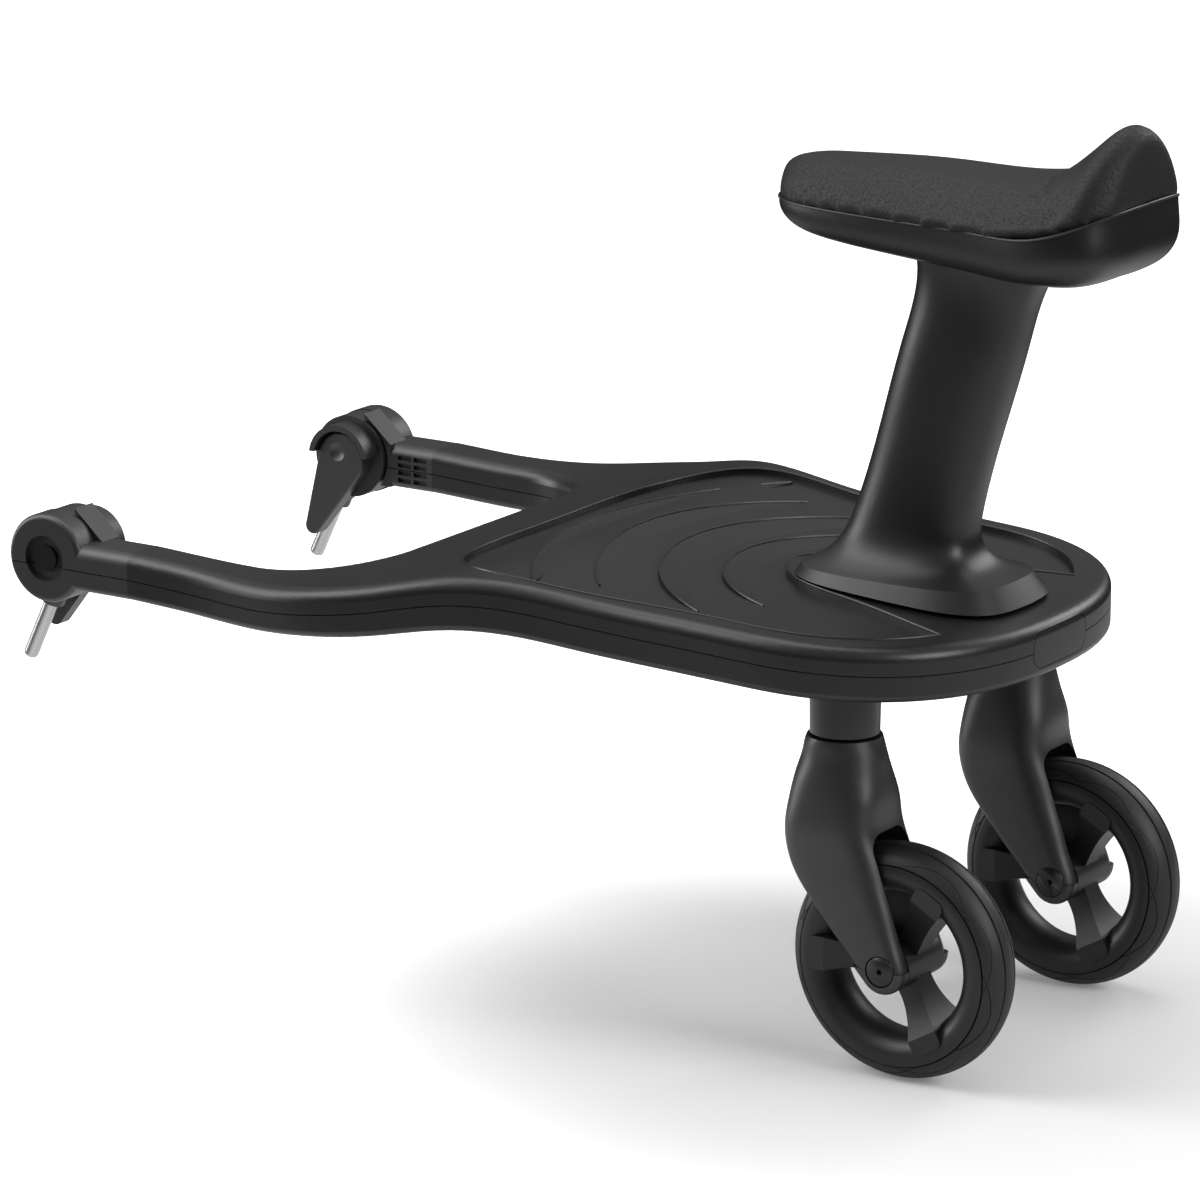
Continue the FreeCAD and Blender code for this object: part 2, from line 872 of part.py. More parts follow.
def spoke_shape():
    """Dished spoke whose rounded pad laps over the ring; it points forward."""
    start = v.bearing_diameter / 2 + 1
    reach = v.spoke_reach
    lap = reach - v.spoke_overlap
    web = v.hub_web / 2
    face = half_width + v.spoke_proud
    hub = v.hub_diameter / 2
    side = [Vector(start, web, 0), Vector(hub, web, 0), Vector((hub + lap) / 2, web + (face - web) * 0.32, 0),
            Vector(lap, face, 0)]
    tip = Vector(reach, face, 0)
    far_side = [Vector(p.x, -p.y, 0) for p in reversed(side)]
    far_tip = Vector(reach, -face, 0)
    profile = [
        spline(side), line(side[-1], tip), line(tip, far_tip), line(far_tip, far_side[0]),
        spline(far_side), line(far_side[-1], side[0])]
    spoke = prism(profile, UP * v.spoke_width)
    spoke.translate(UP * (-v.spoke_width / 2))
    neck = v.spoke_neck / 2
    pad = v.spoke_width / 2
    edge = [Vector(start, 0, neck * 1.1), Vector((hub + lap) / 2, 0, neck), Vector(lap, 0, pad), Vector(reach, 0, pad)]
    far_edge = [Vector(p.x, 0, -p.z) for p in reversed(edge)]
    outline = [
        spline(edge[:3]), line(edge[2], edge[3]), line(edge[3], far_edge[0]),
        line(far_edge[0], far_edge[1]), spline(far_edge[1:]), line(far_edge[-1], edge[0])]
    plan_view = prism(outline, LEFT * (2 * face + 2))
    plan_view.translate(LEFT * (-face - 1))
    plan_view = round_shape(plan_view, v.spoke_corner, lambda p: p.x > reach - 1e-6 and abs(abs(p.z) - pad) < 1e-6)
    return spoke.common(plan_view)


def wheel_shape():
    """Fat rounded ring, hub and dished spokes."""
    hub_half = slot_half - v.running_gap
    wheel = fat_ring().common(tread_bed())
    hub_start = LEFT * -hub_half
    wheel = wheel.fuse(cylinder(v.hub_diameter / 2, hub_start, LEFT, 2 * hub_half))
    for index in range(int(v.spoke_count)):
        spoke = spoke_shape()
        spoke.rotate(ORIGIN, LEFT, 360 / v.spoke_count * index)
        wheel = wheel.fuse(spoke)
    wheel = wheel.cut(cylinder(v.bearing_diameter / 2, hub_start, LEFT, 2 * hub_half))
    return at_axle(wheel.removeSplitter())


def bearing_pair():
    """Two plain bearings, one in each end of the hub."""
    hub_half = slot_half - v.running_gap
    bearings = []
    for sign in (1, -1):
        start = Vector(v.axle_x, side_y + sign * hub_half, wheel_radius)
        sleeve = cylinder(v.bearing_diameter / 2, start, LEFT * -sign, v.bearing_length)
        bore = cylinder(v.axle_diameter / 2 + v.shaft_fit, start, LEFT * -sign, v.bearing_length)
        bearings.append(sleeve.cut(bore))
    return Part.makeCompound(bearings)


fork_outer = half_tyre + D.wheel_side_gap + D.fork_leg_thickness
head_seat = fork_outer - D.axle_head_thickness


def axle_bolt():
    body = new_body("axle_bolt")
    shank = D.axle_diameter / 2
    head = D.axle_head_diameter / 2
    turn = revolution(body, "axle_bolt_turn", "XY_Plane", [
        (0, -head_seat), (shank, -head_seat), (shank, head_seat), (head, head_seat),
        (head, fork_outer), (0, fork_outer)])
    chamfer = body.newObject("PartDesign::Chamfer", "axle_bolt_chamfer")
    rim = [f"Edge{i}" for i, edge in enumerate(turn.Shape.Edges, start=1)
           if at_radius(edge, float(head)) and middle(edge).y > float(fork_outer) - 0.01]
    chamfer.Base = (turn, rim)
    chamfer.Size = 0.6
    return body


def axle_nut():
    body = new_body("axle_nut")
    head = D.axle_head_diameter / 2
    revolution(body, "axle_nut_turn", "XY_Plane", [
        (0, -fork_outer), (head, -fork_outer), (head, -head_seat), (0, -head_seat)])
    return body


for stem, shape in (("tyre", tyre_shape()), ("wheel", wheel_shape())):
    turned_part = doc.addObject("Part::Feature", stem)
    turned_part.Shape = shape
    pair(turned_part, stem)
wheel_part(axle_bolt(), "axle_bolt")
wheel_part(axle_nut(), "axle_nut")
bearings_left = doc.addObject("Part::Feature", "wheel_bearings")
bearings_left.Shape = bearing_pair()
pair(bearings_left, "wheel_bearings")


# Casters, about the swivel axis


def fork_section(z, front, rear, width, power):
    return rounded_section((front + rear) / 2, z, front - rear, width, power)


def fork_toe(axle, end, front):
    """Rounded end of the legs under the axle, drawn out to the front."""
    reach = front - axle.x
    touch = math.acos(end / reach)
    tangent = axle + Vector(end * math.cos(touch), 0, -end * math.sin(touch))
    rear = axle - FORWARD * end
    arc_angle = (math.pi + touch) / 2
    under = axle + Vector(end * math.cos(arc_angle), 0, -end * math.sin(arc_angle))
    nose = axle + FORWARD * reach
    edges = [Part.Arc(rear, under, tangent).toShape(), line(tangent, nose), line(nose, rear)]
    toe = prism(edges, LEFT * (2 * fork_half))
    toe.translate(LEFT * -fork_half)
    return round_shape(toe, v.leg_edge_round,
                       lambda p: abs(abs(p.y) - fork_half) < 1e-6 and p.z < axle.z - 1e-3)


def fork_shape():
    """Loft from a round neck to a deep shoulder that runs back into two legs, open for the wheel."""
    neck = v.fork_neck_diameter / 2
    top = v.fork_top
    shoulder = v.fork_shoulder_height
    deep = v.fork_depth / 2
    wide = 2 * fork_half
    axle = Vector(-v.caster_trail, 0, wheel_radius)
    end = v.leg_end_radius
    toe_front = axle.x + end * v.leg_toe
    toe_rear = axle.x - end
    sections = []
    # share of the way down to the shoulder, of the growth in depth and in width, squareness
    for fall, growth, spread, power in (
            (0, 0, 0, 2), (0.15, 0.24, 0.1, 2.2), (0.31, 0.48, 0.25, 2.4), (0.53, 0.77, 0.55, 2.9),
            (0.78, 0.94, 0.84, 3.5), (1, 1, 1, 4)):
        half = neck + (deep - neck) * growth
        width = 2 * neck + (wide - 2 * neck) * spread
        sections.append(fork_section(top + (shoulder - top) * fall, half, -half, width, power))
    # share of the way down to the axle and of the front's way back, squareness
    for fall, back, power in ((0.17, 0.025, 4.2), (0.34, 0.125, 4.4), (0.5, 0.3, 4.6), (0.67, 0.53, 4.8),
                              (0.83, 0.76, 5), (1, 1, 5)):
        front = deep + (toe_front - deep) * back
        rear = -deep + (toe_rear + deep) * fall
        sections.append(fork_section(shoulder + (wheel_radius - shoulder) * fall, front, rear, wide, power))
    fork = smooth_loft(sections)
    fork = fork.fuse(fork_toe(axle, end, toe_front))
    clear_radius = wheel_radius + v.wheel_top_gap
    arch = cylinder(clear_radius, axle - LEFT * slot_half, LEFT, 2 * slot_half)
    arch = round_shape(arch, v.arch_round,
                       lambda p: abs((p - axle).Length ** 2 - clear_radius ** 2 - slot_half ** 2) < 1)
    fork = fork.cut(arch)
    stem_foot = Vector(0, 0, top - v.stem_seat)
    fork = fork.cut(cylinder(v.stem_diameter / 2, stem_foot, UP, ROOM))
    fork = fork.cut(cylinder(v.axle_diameter / 2, axle - LEFT * wide, LEFT, 2 * wide))
    head = v.axle_head_diameter / 2 + v.axle_head_gap
    for sign in (1, -1):
        seat = axle + LEFT * (sign * (fork_half - v.axle_head_thickness))
        fork = fork.cut(cylinder(head, seat, LEFT * sign, wide))
    fork.translate(Vector(swivel_x, side_y, 0))
    return fork


stem_r = D.stem_diameter / 2
bush_top_size = D.fork_top + D.running_gap + D.bush_flange + D.bush_length
clip_low = bush_top_size + D.running_gap
clip_high = clip_low + D.clip_thickness


def swivel_part(body, stem):
    place(body, D.axle_x + D.caster_trail, D.wheel_track / 2, 0)
    pair(body, stem)


def caster_stem():
    body = new_body("caster_stem")
    neck = stem_r - D.clip_groove
    end = bush_top_size + D.stem_above_bush
    revolution(body, "caster_stem_turn", "XZ_Plane", [
        (0, D.fork_top - D.stem_seat), (stem_r, D.fork_top - D.stem_seat), (stem_r, clip_low),
        (neck, clip_low), (neck, clip_high), (stem_r, clip_high), (stem_r, end), (0, end)])
    return body


def caster_bush():
    body = new_body("caster_bush")
    bore = stem_r + D.shaft_fit
    low = D.fork_top + D.running_gap
    shelf = low + D.bush_flange
    flange = D.bush_flange_diameter / 2
    sleeve = D.bush_diameter / 2
    revolution(body, "caster_bush_turn", "XZ_Plane", [
        (bore, low), (flange, low), (flange, shelf), (sleeve, shelf), (sleeve, bush_top_size),
        (bore, bush_top_size)])
    return body


def stem_clip():
    body = new_body("stem_clip")
    inner = stem_r - D.clip_groove
    outer = D.clip_diameter / 2
    revolution(body, "stem_clip_turn", "XZ_Plane", [
        (inner, clip_low), (outer, clip_low), (outer, clip_high), (inner, clip_high)])
    return body


fork_left = doc.addObject("Part::Feature", "fork")
fork_left.Shape = fork_shape()
pair(fork_left, "caster_fork")
swivel_part(caster_stem(), "caster_stem")
swivel_part(caster_bush(), "caster_bush")
swivel_part(stem_clip(), "stem_clip")


# Adapters at the ends of the arms


def drum_disc(radius, y1, y2):
    return cylinder(radius, Vector(drum_centre.x, y1, drum_centre.z), LEFT, y2 - y1)


def shank_heights():
    """Underside and top of the arm where the housing takes over."""
    tip = parting_height(v.arm_end_x)
    return tip - v.arm_lower, tip + v.arm_upper


def housing_blank():
    """Shank that carries on from the arm, its flank round the drum, and the outer cheek."""
    x1 = from_axle(v.arm_end_x)
    low, high = shank_heights()
    shank = block(x1, drum_centre.x, arm_inner_y, drum_outer_y, low, high)
    for level, radius in ((high, v.rim_radius), (low, v.sole_radius)):
        shank = round_shape(shank, radius, lambda p: abs(p.z - level) < 1e-6 and x1 < p.x < drum_centre.x
                            and min(abs(p.y - arm_inner_y), abs(p.y - drum_outer_y)) < 1e-6)
    wrap = v.drum_radius + v.wrap_wall
    near = drum_centre.x - wrap / 3
    rise = math.sqrt(wrap ** 2 - (wrap / 3) ** 2)
    foot = near - v.flank_length * 0.75
    centre = drum_centre.z
    corners = [
        Vector(near, arm_inner_y, centre + rise), Vector(foot, arm_inner_y, high),
        Vector(foot, arm_inner_y, low), Vector(near, arm_inner_y, low)]
    flank = Part.Face(Part.makePolygon(corners + corners[:1])).extrude(LEFT * (cheek_inner_y - arm_inner_y))
    cheek = drum_disc(v.drum_radius, cheek_inner_y, drum_outer_y)
    cheek = round_shape(cheek, v.cheek_round, lambda p: abs(p.y - drum_outer_y) < 1e-6)
    housing = shank.fuse(flank).fuse(cheek)
    housing = housing.cut(drum_disc(v.drum_radius + 2 * v.running_gap, 0, cheek_inner_y))
    housing = housing.cut(drum_disc(v.pivot_diameter / 2 + v.shaft_fit, 0, ROOM))
    return housing.cut(drum_disc(v.window_diameter / 2, drum_outer_y - v.window_depth, ROOM))


def vent_cuts():
    """Two columns of four shallow slots on the inner side of the shank."""
    cuts = []
    tip = parting_height(v.arm_end_x)
    pitch = v.vent_height + v.vent_rib
    for column in (0, 1):
        x1 = from_axle(v.arm_end_x) + 2 * v.vent_rib + column * (v.vent_length + v.vent_rib)
        for row in (-1.5, -0.5, 0.5, 1.5):
            low = tip + row * pitch - v.vent_height / 2
            cuts.append(block(x1, x1 + v.vent_length, arm_inner_y - 1, arm_inner_y + v.vent_depth,
                              low, low + v.vent_height))
    return cuts


def housing_half(low, high):
    half = housing_blank().common(block(-ROOM, ROOM, 0, ROOM, low, high))
    for vent in vent_cuts():
        half = half.cut(vent)
    return half.removeSplitter()


def hood():
    """Arched wall of the carrier that shelters the lever's head."""
    inner = v.lever_head / 2 + v.hood_gap
    outer = inner + v.hood_wall
    ring = drum_disc(outer, hood_inner_y, carrier_inner_y)
    ring = ring.cut(drum_disc(inner, hood_inner_y, carrier_inner_y))
    below = block(-outer, outer, hood_inner_y, carrier_inner_y, -outer, v.hood_lift)
    below.translate(drum_centre)
    return ring.cut(below)


def pin_carrier():
    """Disc beside the cheek, with a tapered root for the pin's collar and the hood."""
    radius = v.drum_radius - 2 * v.running_gap
    disc = drum_disc(radius, carrier_inner_y, carrier_outer_y)
    start = drum_centre + LEFT * pin_y
    root_start = radius * 0.7
    root_end = (radius + v.collar_reach) / 2
    root = Part.makeCone(v.collar_root_diameter / 2, v.collar_diameter / 2, root_end - root_start,
                         start + pin_direction * root_start, pin_direction)
    root = root.common(block(-ROOM, ROOM, carrier_inner_y, carrier_outer_y, 0, ROOM))
    collar = cylinder(v.collar_diameter / 2, start, pin_direction, v.collar_reach)
    carrier = disc.fuse(root).fuse(collar).fuse(hood())
    carrier = carrier.cut(drum_disc(v.pivot_diameter / 2, 0, ROOM))
    carrier = carrier.cut(pin_root())
    return carrier.removeSplitter()


def pin_root():
    """The thinner end of the pin, pressed into the carrier's collar."""
    start = v.pivot_diameter / 2 + 1
    return cylinder(v.pin_root_diameter / 2, drum_centre + Vector(0, pin_y, 0) + pin_direction * start,
                    pin_direction, v.collar_reach - start)


def coupling_pin():
    """Steel pin with a shoulder at the collar and a rounded end."""
    radius = v.pin_diameter / 2
    start = drum_centre + Vector(0, pin_y, 0) + pin_direction * v.collar_reach
    length = v.pin_reach - v.collar_reach
    rod = cylinder(radius, start, pin_direction, length)
    tip = start + pin_direction * length
    rod = round_shape(rod, radius * 0.6, lambda p: abs((p - tip).Length - radius) < 1e-3)
    return rod.fuse(pin_root()).removeSplitter()


def pivot_shaft():
    """Stepped shaft on which the carrier turns, seen in the cheek's window."""
    lever_room = hood_inner_y + v.hood_depth - v.lever_thickness - v.running_gap
    core = drum_disc(v.pivot_diameter / 2, carrier_inner_y, drum_outer_y - 1)
    nose = drum_disc(v.pivot_diameter / 4, lever_room + 2 + v.running_gap, carrier_inner_y)
    return core.fuse(nose).removeSplitter()


def lock_lever():
    """Round head on the drum axis with a tapered tail that lies along the pin."""
    y2 = carrier_inner_y - v.running_gap
    y1 = y2 - v.lever_thickness
    head = v.lever_head / 2
    centre = Vector(drum_centre.x, y1, drum_centre.z)
    tip = centre + pin_direction * v.lever_reach
    across = Vector(pin_direction.z, 0, -pin_direction.x)
    sine = (head - v.lever_tip) / v.lever_reach
    cosine = math.sqrt(1 - sine ** 2)
    edges = []
    marks = {}
    for sign in (1, -1):
        normal = across * (sign * cosine) + pin_direction * sine
        marks[sign] = (centre + normal * head, tip + normal * v.lever_tip)
    edges.append(line(marks[1][0], marks[1][1]))
    edges.append(Part.Arc(marks[1][1], tip + pin_direction * v.lever_tip, marks[-1][1]).toShape())
    edges.append(line(marks[-1][1], marks[-1][0]))
    edges.append(Part.Arc(marks[-1][0], centre - pin_direction * head, marks[1][0]).toShape())
    lever = prism(edges, LEFT * v.lever_thickness)
    lever = round_shape(lever, 1.2, lambda p: abs(p.y - y1) < 1e-6)
    dimple = Vector(drum_centre.x + 2, y1 - 9, drum_centre.z + 4)
    lever = lever.cut(Part.makeSphere(10.4, dimple))
    return lever.cut(drum_disc(v.pivot_diameter / 4 + v.shaft_fit, y1 + 2, ROOM))


adapter_shapes = {
    "housing_upper": housing_half(v.parting_tip, ROOM),
    "housing_lower": housing_half(0, v.parting_tip - v.parting_gap),
    "pin_carrier": pin_carrier(),
    "coupling_pin": coupling_pin(),
    "pivot_shaft": pivot_shaft(),
    "lock_lever": lock_lever(),
}
for stem, shape in adapter_shapes.items():
    left = doc.addObject("Part::Feature", stem)
    left.Shape = shape
    pair(left, stem)


# Seat


def post_x(z):
    """The post leans back as it rises from the foot."""
    return from_axle(v.foot_x + v.post_shift - (z - foot_top()) * lean)


def foot_top():
    return top_height(v.foot_x) + v.foot_skirt


def seat_post():
    """Flared foot, leaning oval post and a flared head under the pan."""
    z = foot_top()
    x = from_axle(v.foot_x)
    length = v.foot_length - 2 * v.foot_bevel
    width = v.foot_width - 2 * v.foot_bevel
    square = v.foot_squareness
    drop = v.foot_skirt - v.foot_gap
    skirt = Part.makeLoft([
        rounded_section(x, z - 2 * drop, v.foot_length + 2 * v.foot_bevel, v.foot_width + 2 * v.foot_bevel, square),
        rounded_section(x, z, length, width, square),
    ], True, True)
    skirt = skirt.cut(band(lambda x: 0, raised(top_height, v.foot_gap)))
    plinth = prism(rounded_section(x, 0, length, width, square).Edges, UP * z)
    plinth = plinth.cut(band(lambda x: 0, raised(top_height, v.running_gap)))
    head = v.pan_bottom + v.post_head
    spread = length - v.post_length
    spread_y = width - v.post_width
    flare = [(0, 1, square), (3, 0.62, square), (8, 0.33, 3.1), (16, 0.12, 2.8), (30, 0.02, 2.6)]
    sections = []
    for rise, share, power in flare:
        sections.append(rounded_section(
            x + (post_x(z + rise) - x) * (1 - share), z + rise,
            v.post_length + spread * share, v.post_width + spread_y * share, power))
    for drop, share in ((60, 0), (22, 0.01), (10, 0.1), (0, 0.3)):
        height = head - drop
        sections.append(rounded_section(
            post_x(height), height, v.post_length + spread * share, v.post_width + spread_y * share, 2.6))
    post = smooth_loft(sections)
    return post.fuse(skirt).fuse(plinth).cut(spigot())


def half_outline():
    """Places round the left half of the saddle: square rear, drawn in to a rounded nose."""
    wide = v.seat_width / 2
    nose = v.seat_nose_width / 2
    return [
        (-v.seat_rear, 0), (-v.seat_rear * 0.985, wide * 0.57), (-v.seat_rear * 0.92, wide * 0.85),
        (-v.seat_rear * 0.77, wide), (-v.seat_rear * 0.25, wide * 0.95), (v.seat_front * 0.32, (wide + nose) / 2),
        (v.seat_front * 0.72, nose * 1.1), (v.seat_front * 0.92, nose * 0.71), (v.seat_front, 0)]


def seat_outline(z, scale, tilt):
    """Outline of the saddle, scaled about its middle and lifted by tilt at the nose."""
    length = v.seat_front + v.seat_rear
    centre = (v.seat_front - v.seat_rear) / 2
    left = []
    for x, y in half_outline():
        place_x = centre + (x - centre) * scale
        left.append(Vector(from_axle(place_x), y * scale, z + tilt * (place_x + v.seat_rear) / length))
    return Part.Wire([closed_spline(left + flipped(left[1:-1]))])


def seam_curve(x):
    """Height of the seam: level, then rising under the backrest."""
    start = -v.seat_rear * 0.35
    share = max(0, (start - x) / (v.seat_rear + start))
    return v.seam_height + v.seam_rise * share ** 2


def below_seam(gap):
    """The space under the seam, over the whole width."""
    first = -v.seat_rear - 15
    last = v.seat_front + 15
    stations = 9
    step = (last - first) / (stations - 1)
    places = [first + step * i for i in range(stations)]
    edge = [Vector(from_axle(x), -ROOM, seam_curve(x) + gap) for x in places]
    low_rear = Vector(edge[0].x, -ROOM, 0)
    low_front = Vector(edge[-1].x, -ROOM, 0)
    edges = [spline(edge), line(edge[-1], low_front), line(low_front, low_rear), line(low_rear, edge[0])]
    return prism(edges, Vector(0, 2 * ROOM, 0))


def seat_pan():
    """Smooth bowl under the cushion, shallower towards the nose."""
    depth = v.seam_height - v.pan_bottom
    lift = v.pan_nose_bottom - v.pan_bottom
    steps = [(1.6, 1.0), (0.9, 1.0), (0.58, 0.985), (0.32, 0.94), (0.12, 0.84), (0, 0.66)]
    bowl = smooth_loft([seat_outline(v.pan_bottom + depth * rise, scale, lift * max(0, 1 - rise))
                        for rise, scale in steps])
    bowl = bowl.common(below_seam(0))
    return bowl.cut(seat_post_shape)


def outline_width(x):
    """Half width of the saddle at x."""
    return smooth_curve(half_outline(), x)


def seat_cushion():
    """Crowned pad whose rear swells up into a low backrest."""
    backrest = v.backrest_height - v.seam_height
    top = v.cushion_height
    rear = v.seat_rear
    front = v.seat_front
    # x, height, share of the width, squareness of the section
    stations = [
        (front - 1, top * 0.5, 1, 2.2), (front * 0.965, top * 0.8, 1, 2.5), (front * 0.88, top * 0.97, 1, 2.8),
        (front * 0.6, top, 1, 2.8), (front * 0.2, top, 1, 2.8), (-rear * 0.26, top * 1.03, 1, 2.7),
        (-rear * 0.48, top * 1.25, 1, 2.4), (-rear * 0.66, backrest * 0.7, 0.98, 2),
        (-rear * 0.82, backrest * 0.97, 0.95, 1.85), (-rear * 0.91, backrest, 0.95, 1.85),
        (-rear * 0.98, backrest * 0.9, 0.95, 1.85),
    ]
    sections = []
    for x, height, share, power in stations:
        half = outline_width(x) * share
        base = v.seam_height - v.seam_sunk
        rise = height + v.seam_sunk
        arch = []
        for step in range(13):
            angle = math.pi * step / 12
            aside = math.copysign(abs(math.cos(angle)) ** (2 / power), math.cos(angle))
            arch.append(Vector(from_axle(x), half * aside, base + rise * math.sin(angle) ** (2 / power)))
        sections.append(Part.Wire([spline(arch), line(arch[-1], arch[0])]))
    pad = smooth_loft(sections)
    return pad.cut(below_seam(v.running_gap))


seat_post_shape = seat_post()
feature("seat_post", seat_post_shape)
feature("seat_spigot", spigot())
feature("seat_pan", seat_pan())
feature("seat_cushion", seat_cushion())


# Check everything, then write one file for each sub-part

doc.recompute()
for obj in doc.Objects:
    if "Invalid" in obj.State or "Error" in obj.State:
        raise RuntimeError(f"{obj.Label} failed: {obj.State}")
for obj in nodes:
    if obj.Shape.isNull() or not obj.Shape.isValid():
        raise RuntimeError(f"{obj.Label} has no valid shape")
os.makedirs("parts", exist_ok=True)
for obj in nodes:
    obj.Shape.exportStep(f"parts/{obj.Label}.step")
    box = obj.Shape.BoundBox
    print(f"{obj.Label}: {len(obj.Shape.Solids)} solids, {obj.Shape.Volume / 1000:.2f} cm3, "
          f"x {box.XMin:.1f}..{box.XMax:.1f} y {box.YMin:.1f}..{box.YMax:.1f} z {box.ZMin:.1f}..{box.ZMax:.1f}")
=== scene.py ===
import json
import math

import bpy
from bpy.props import FloatProperty, FloatVectorProperty, IntProperty, PointerProperty
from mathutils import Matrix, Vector
from mathutils.bvhtree import BVHTree

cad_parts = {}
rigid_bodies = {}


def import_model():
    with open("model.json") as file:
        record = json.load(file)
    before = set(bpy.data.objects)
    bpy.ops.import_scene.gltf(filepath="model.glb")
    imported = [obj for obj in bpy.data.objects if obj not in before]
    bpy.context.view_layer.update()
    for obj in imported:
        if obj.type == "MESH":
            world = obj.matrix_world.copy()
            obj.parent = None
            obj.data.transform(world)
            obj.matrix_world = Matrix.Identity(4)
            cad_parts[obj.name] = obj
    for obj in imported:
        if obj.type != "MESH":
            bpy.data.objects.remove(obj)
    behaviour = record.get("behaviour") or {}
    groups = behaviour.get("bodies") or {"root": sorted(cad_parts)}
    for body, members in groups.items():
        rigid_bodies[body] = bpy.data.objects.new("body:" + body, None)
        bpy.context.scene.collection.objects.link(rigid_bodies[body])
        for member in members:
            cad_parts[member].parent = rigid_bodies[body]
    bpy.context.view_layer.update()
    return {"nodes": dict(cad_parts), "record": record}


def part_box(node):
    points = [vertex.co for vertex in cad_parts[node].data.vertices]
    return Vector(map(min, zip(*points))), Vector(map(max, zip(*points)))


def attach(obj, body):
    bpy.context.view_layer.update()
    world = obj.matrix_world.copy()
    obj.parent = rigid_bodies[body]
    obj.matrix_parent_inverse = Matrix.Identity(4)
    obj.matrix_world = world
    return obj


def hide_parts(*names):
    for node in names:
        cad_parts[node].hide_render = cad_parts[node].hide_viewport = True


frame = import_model()

bl_info = {
    "name": "Buggy board dressing",
    "version": (1, 0, 0),
    "blender": (4, 5, 0),
    "location": "View3D > Sidebar > Board",
    "description": "Finishes, saddle cushion, tyres and stage for a packed buggy board",
    "category": "Object",
}

MM = 0.001
SIDES = ("left", "right")
NODES = frame["nodes"]
NODE_MERGE = 0.01 * MM
PIECE_MERGE = 0.005 * MM
SMOOTH_ANGLE = math.radians(35)
LEATHER_CELLS = 900.0


# Settings


class PlasticSettings(bpy.types.PropertyGroup):
    deck_colour: FloatVectorProperty(
        name="Deck colour", description="Moulded plastic of the deck", subtype="COLOR",
        default=(0.0095, 0.0095, 0.0098))
    seat_colour: FloatVectorProperty(
        name="Seat colour", description="Smooth plastic of the post and the seat pan", subtype="COLOR",
        default=(0.008, 0.008, 0.0082))
    fitting_colour: FloatVectorProperty(
        name="Fitting colour", description="Forks, wheels and adapters", subtype="COLOR",
        default=(0.0085, 0.0085, 0.0087))
    grain: FloatProperty(
        name="Grain", description="Size of the eroded texture on moulded plastic", subtype="DISTANCE",
        default=0.0005)
    brink: FloatProperty(
        name="Brink", description="Radius of the rolled brinks of the tread", subtype="DISTANCE",
        default=0.0007)
    socket: FloatProperty(
        name="Socket", description="Radius of the six-lobed socket in the axle heads", subtype="DISTANCE",
        default=0.0019)


class CushionSettings(bpy.types.PropertyGroup):
    colour: FloatVectorProperty(
        name="Cover colour", description="Grained cover of the saddle", subtype="COLOR",
        default=(0.011, 0.011, 0.0112))
    voxel: FloatProperty(
        name="Voxel", description="Size of the remesh before the pad is inflated", subtype="DISTANCE",
        default=0.0025)
    fullness: FloatProperty(
        name="Fullness", description="Growth that makes up for the smoothing", subtype="DISTANCE",
        default=0.0011)
    pressure: FloatProperty(
        name="Pressure", description="Push of the foam against its cover", default=4.0)
    frames: IntProperty(
        name="Frames", description="Steps of the cloth simulation", default=20)
    swell: FloatProperty(
        name="Swell", description="Furthest that a point of the pad may move", subtype="DISTANCE",
        default=0.0018)
    held: FloatProperty(
        name="Held edge", description="Height above the seam that stays where the pan holds it",
        subtype="DISTANCE", default=0.003)
    welt: FloatProperty(
        name="Welt", description="Radius of the pan's rolled lip along the seam", subtype="DISTANCE",
        default=0.0007)


class TyreSettings(bpy.types.PropertyGroup):
    middle: FloatProperty(
        name="Section middle", description="Radius of the middle of the wheel's oval section",
        subtype="DISTANCE", default=0.048)
    depth: FloatProperty(
        name="Section depth", description="From the section's middle to the tread", subtype="DISTANCE",
        default=0.013)
    half_width: FloatProperty(
        name="Half width", description="Half the width of the oval section", subtype="DISTANCE",
        default=0.015)
    bed: FloatProperty(
        name="Bed", description="Radius at which the tyre sits on the wheel", subtype="DISTANCE",
        default=0.052)
    groove_place: FloatProperty(
        name="Groove place", description="Offset of the two grooves along the tread", subtype="DISTANCE",
        default=0.0045)
    groove_width: FloatProperty(
        name="Groove width", description="Width of those grooves", subtype="DISTANCE", default=0.0012)
    groove_depth: FloatProperty(
        name="Groove depth", description="Depth of those grooves", subtype="DISTANCE", default=0.0009)
    rim_gap: FloatProperty(
        name="Rim gap", description="Open groove between the tyre and the wheel's ring", subtype="DISTANCE",
        default=0.0008)
    bow_count: IntProperty(
        name="Bows", description="Engraved bows round each sidewall", default=9)
    bow_span: FloatProperty(
        name="Bow span", description="Angle that one bow takes up", subtype="ANGLE",
        default=math.radians(52))
    bow_rise: FloatProperty(
        name="Bow rise", description="How far a bow climbs towards the tread", subtype="DISTANCE",
        default=0.0052)
    bow_width: FloatProperty(
        name="Bow width", description="Width of the engraved line", subtype="DISTANCE", default=0.0008)
    segments: IntProperty(
        name="Segments", description="Steps round the tyre", default=192)


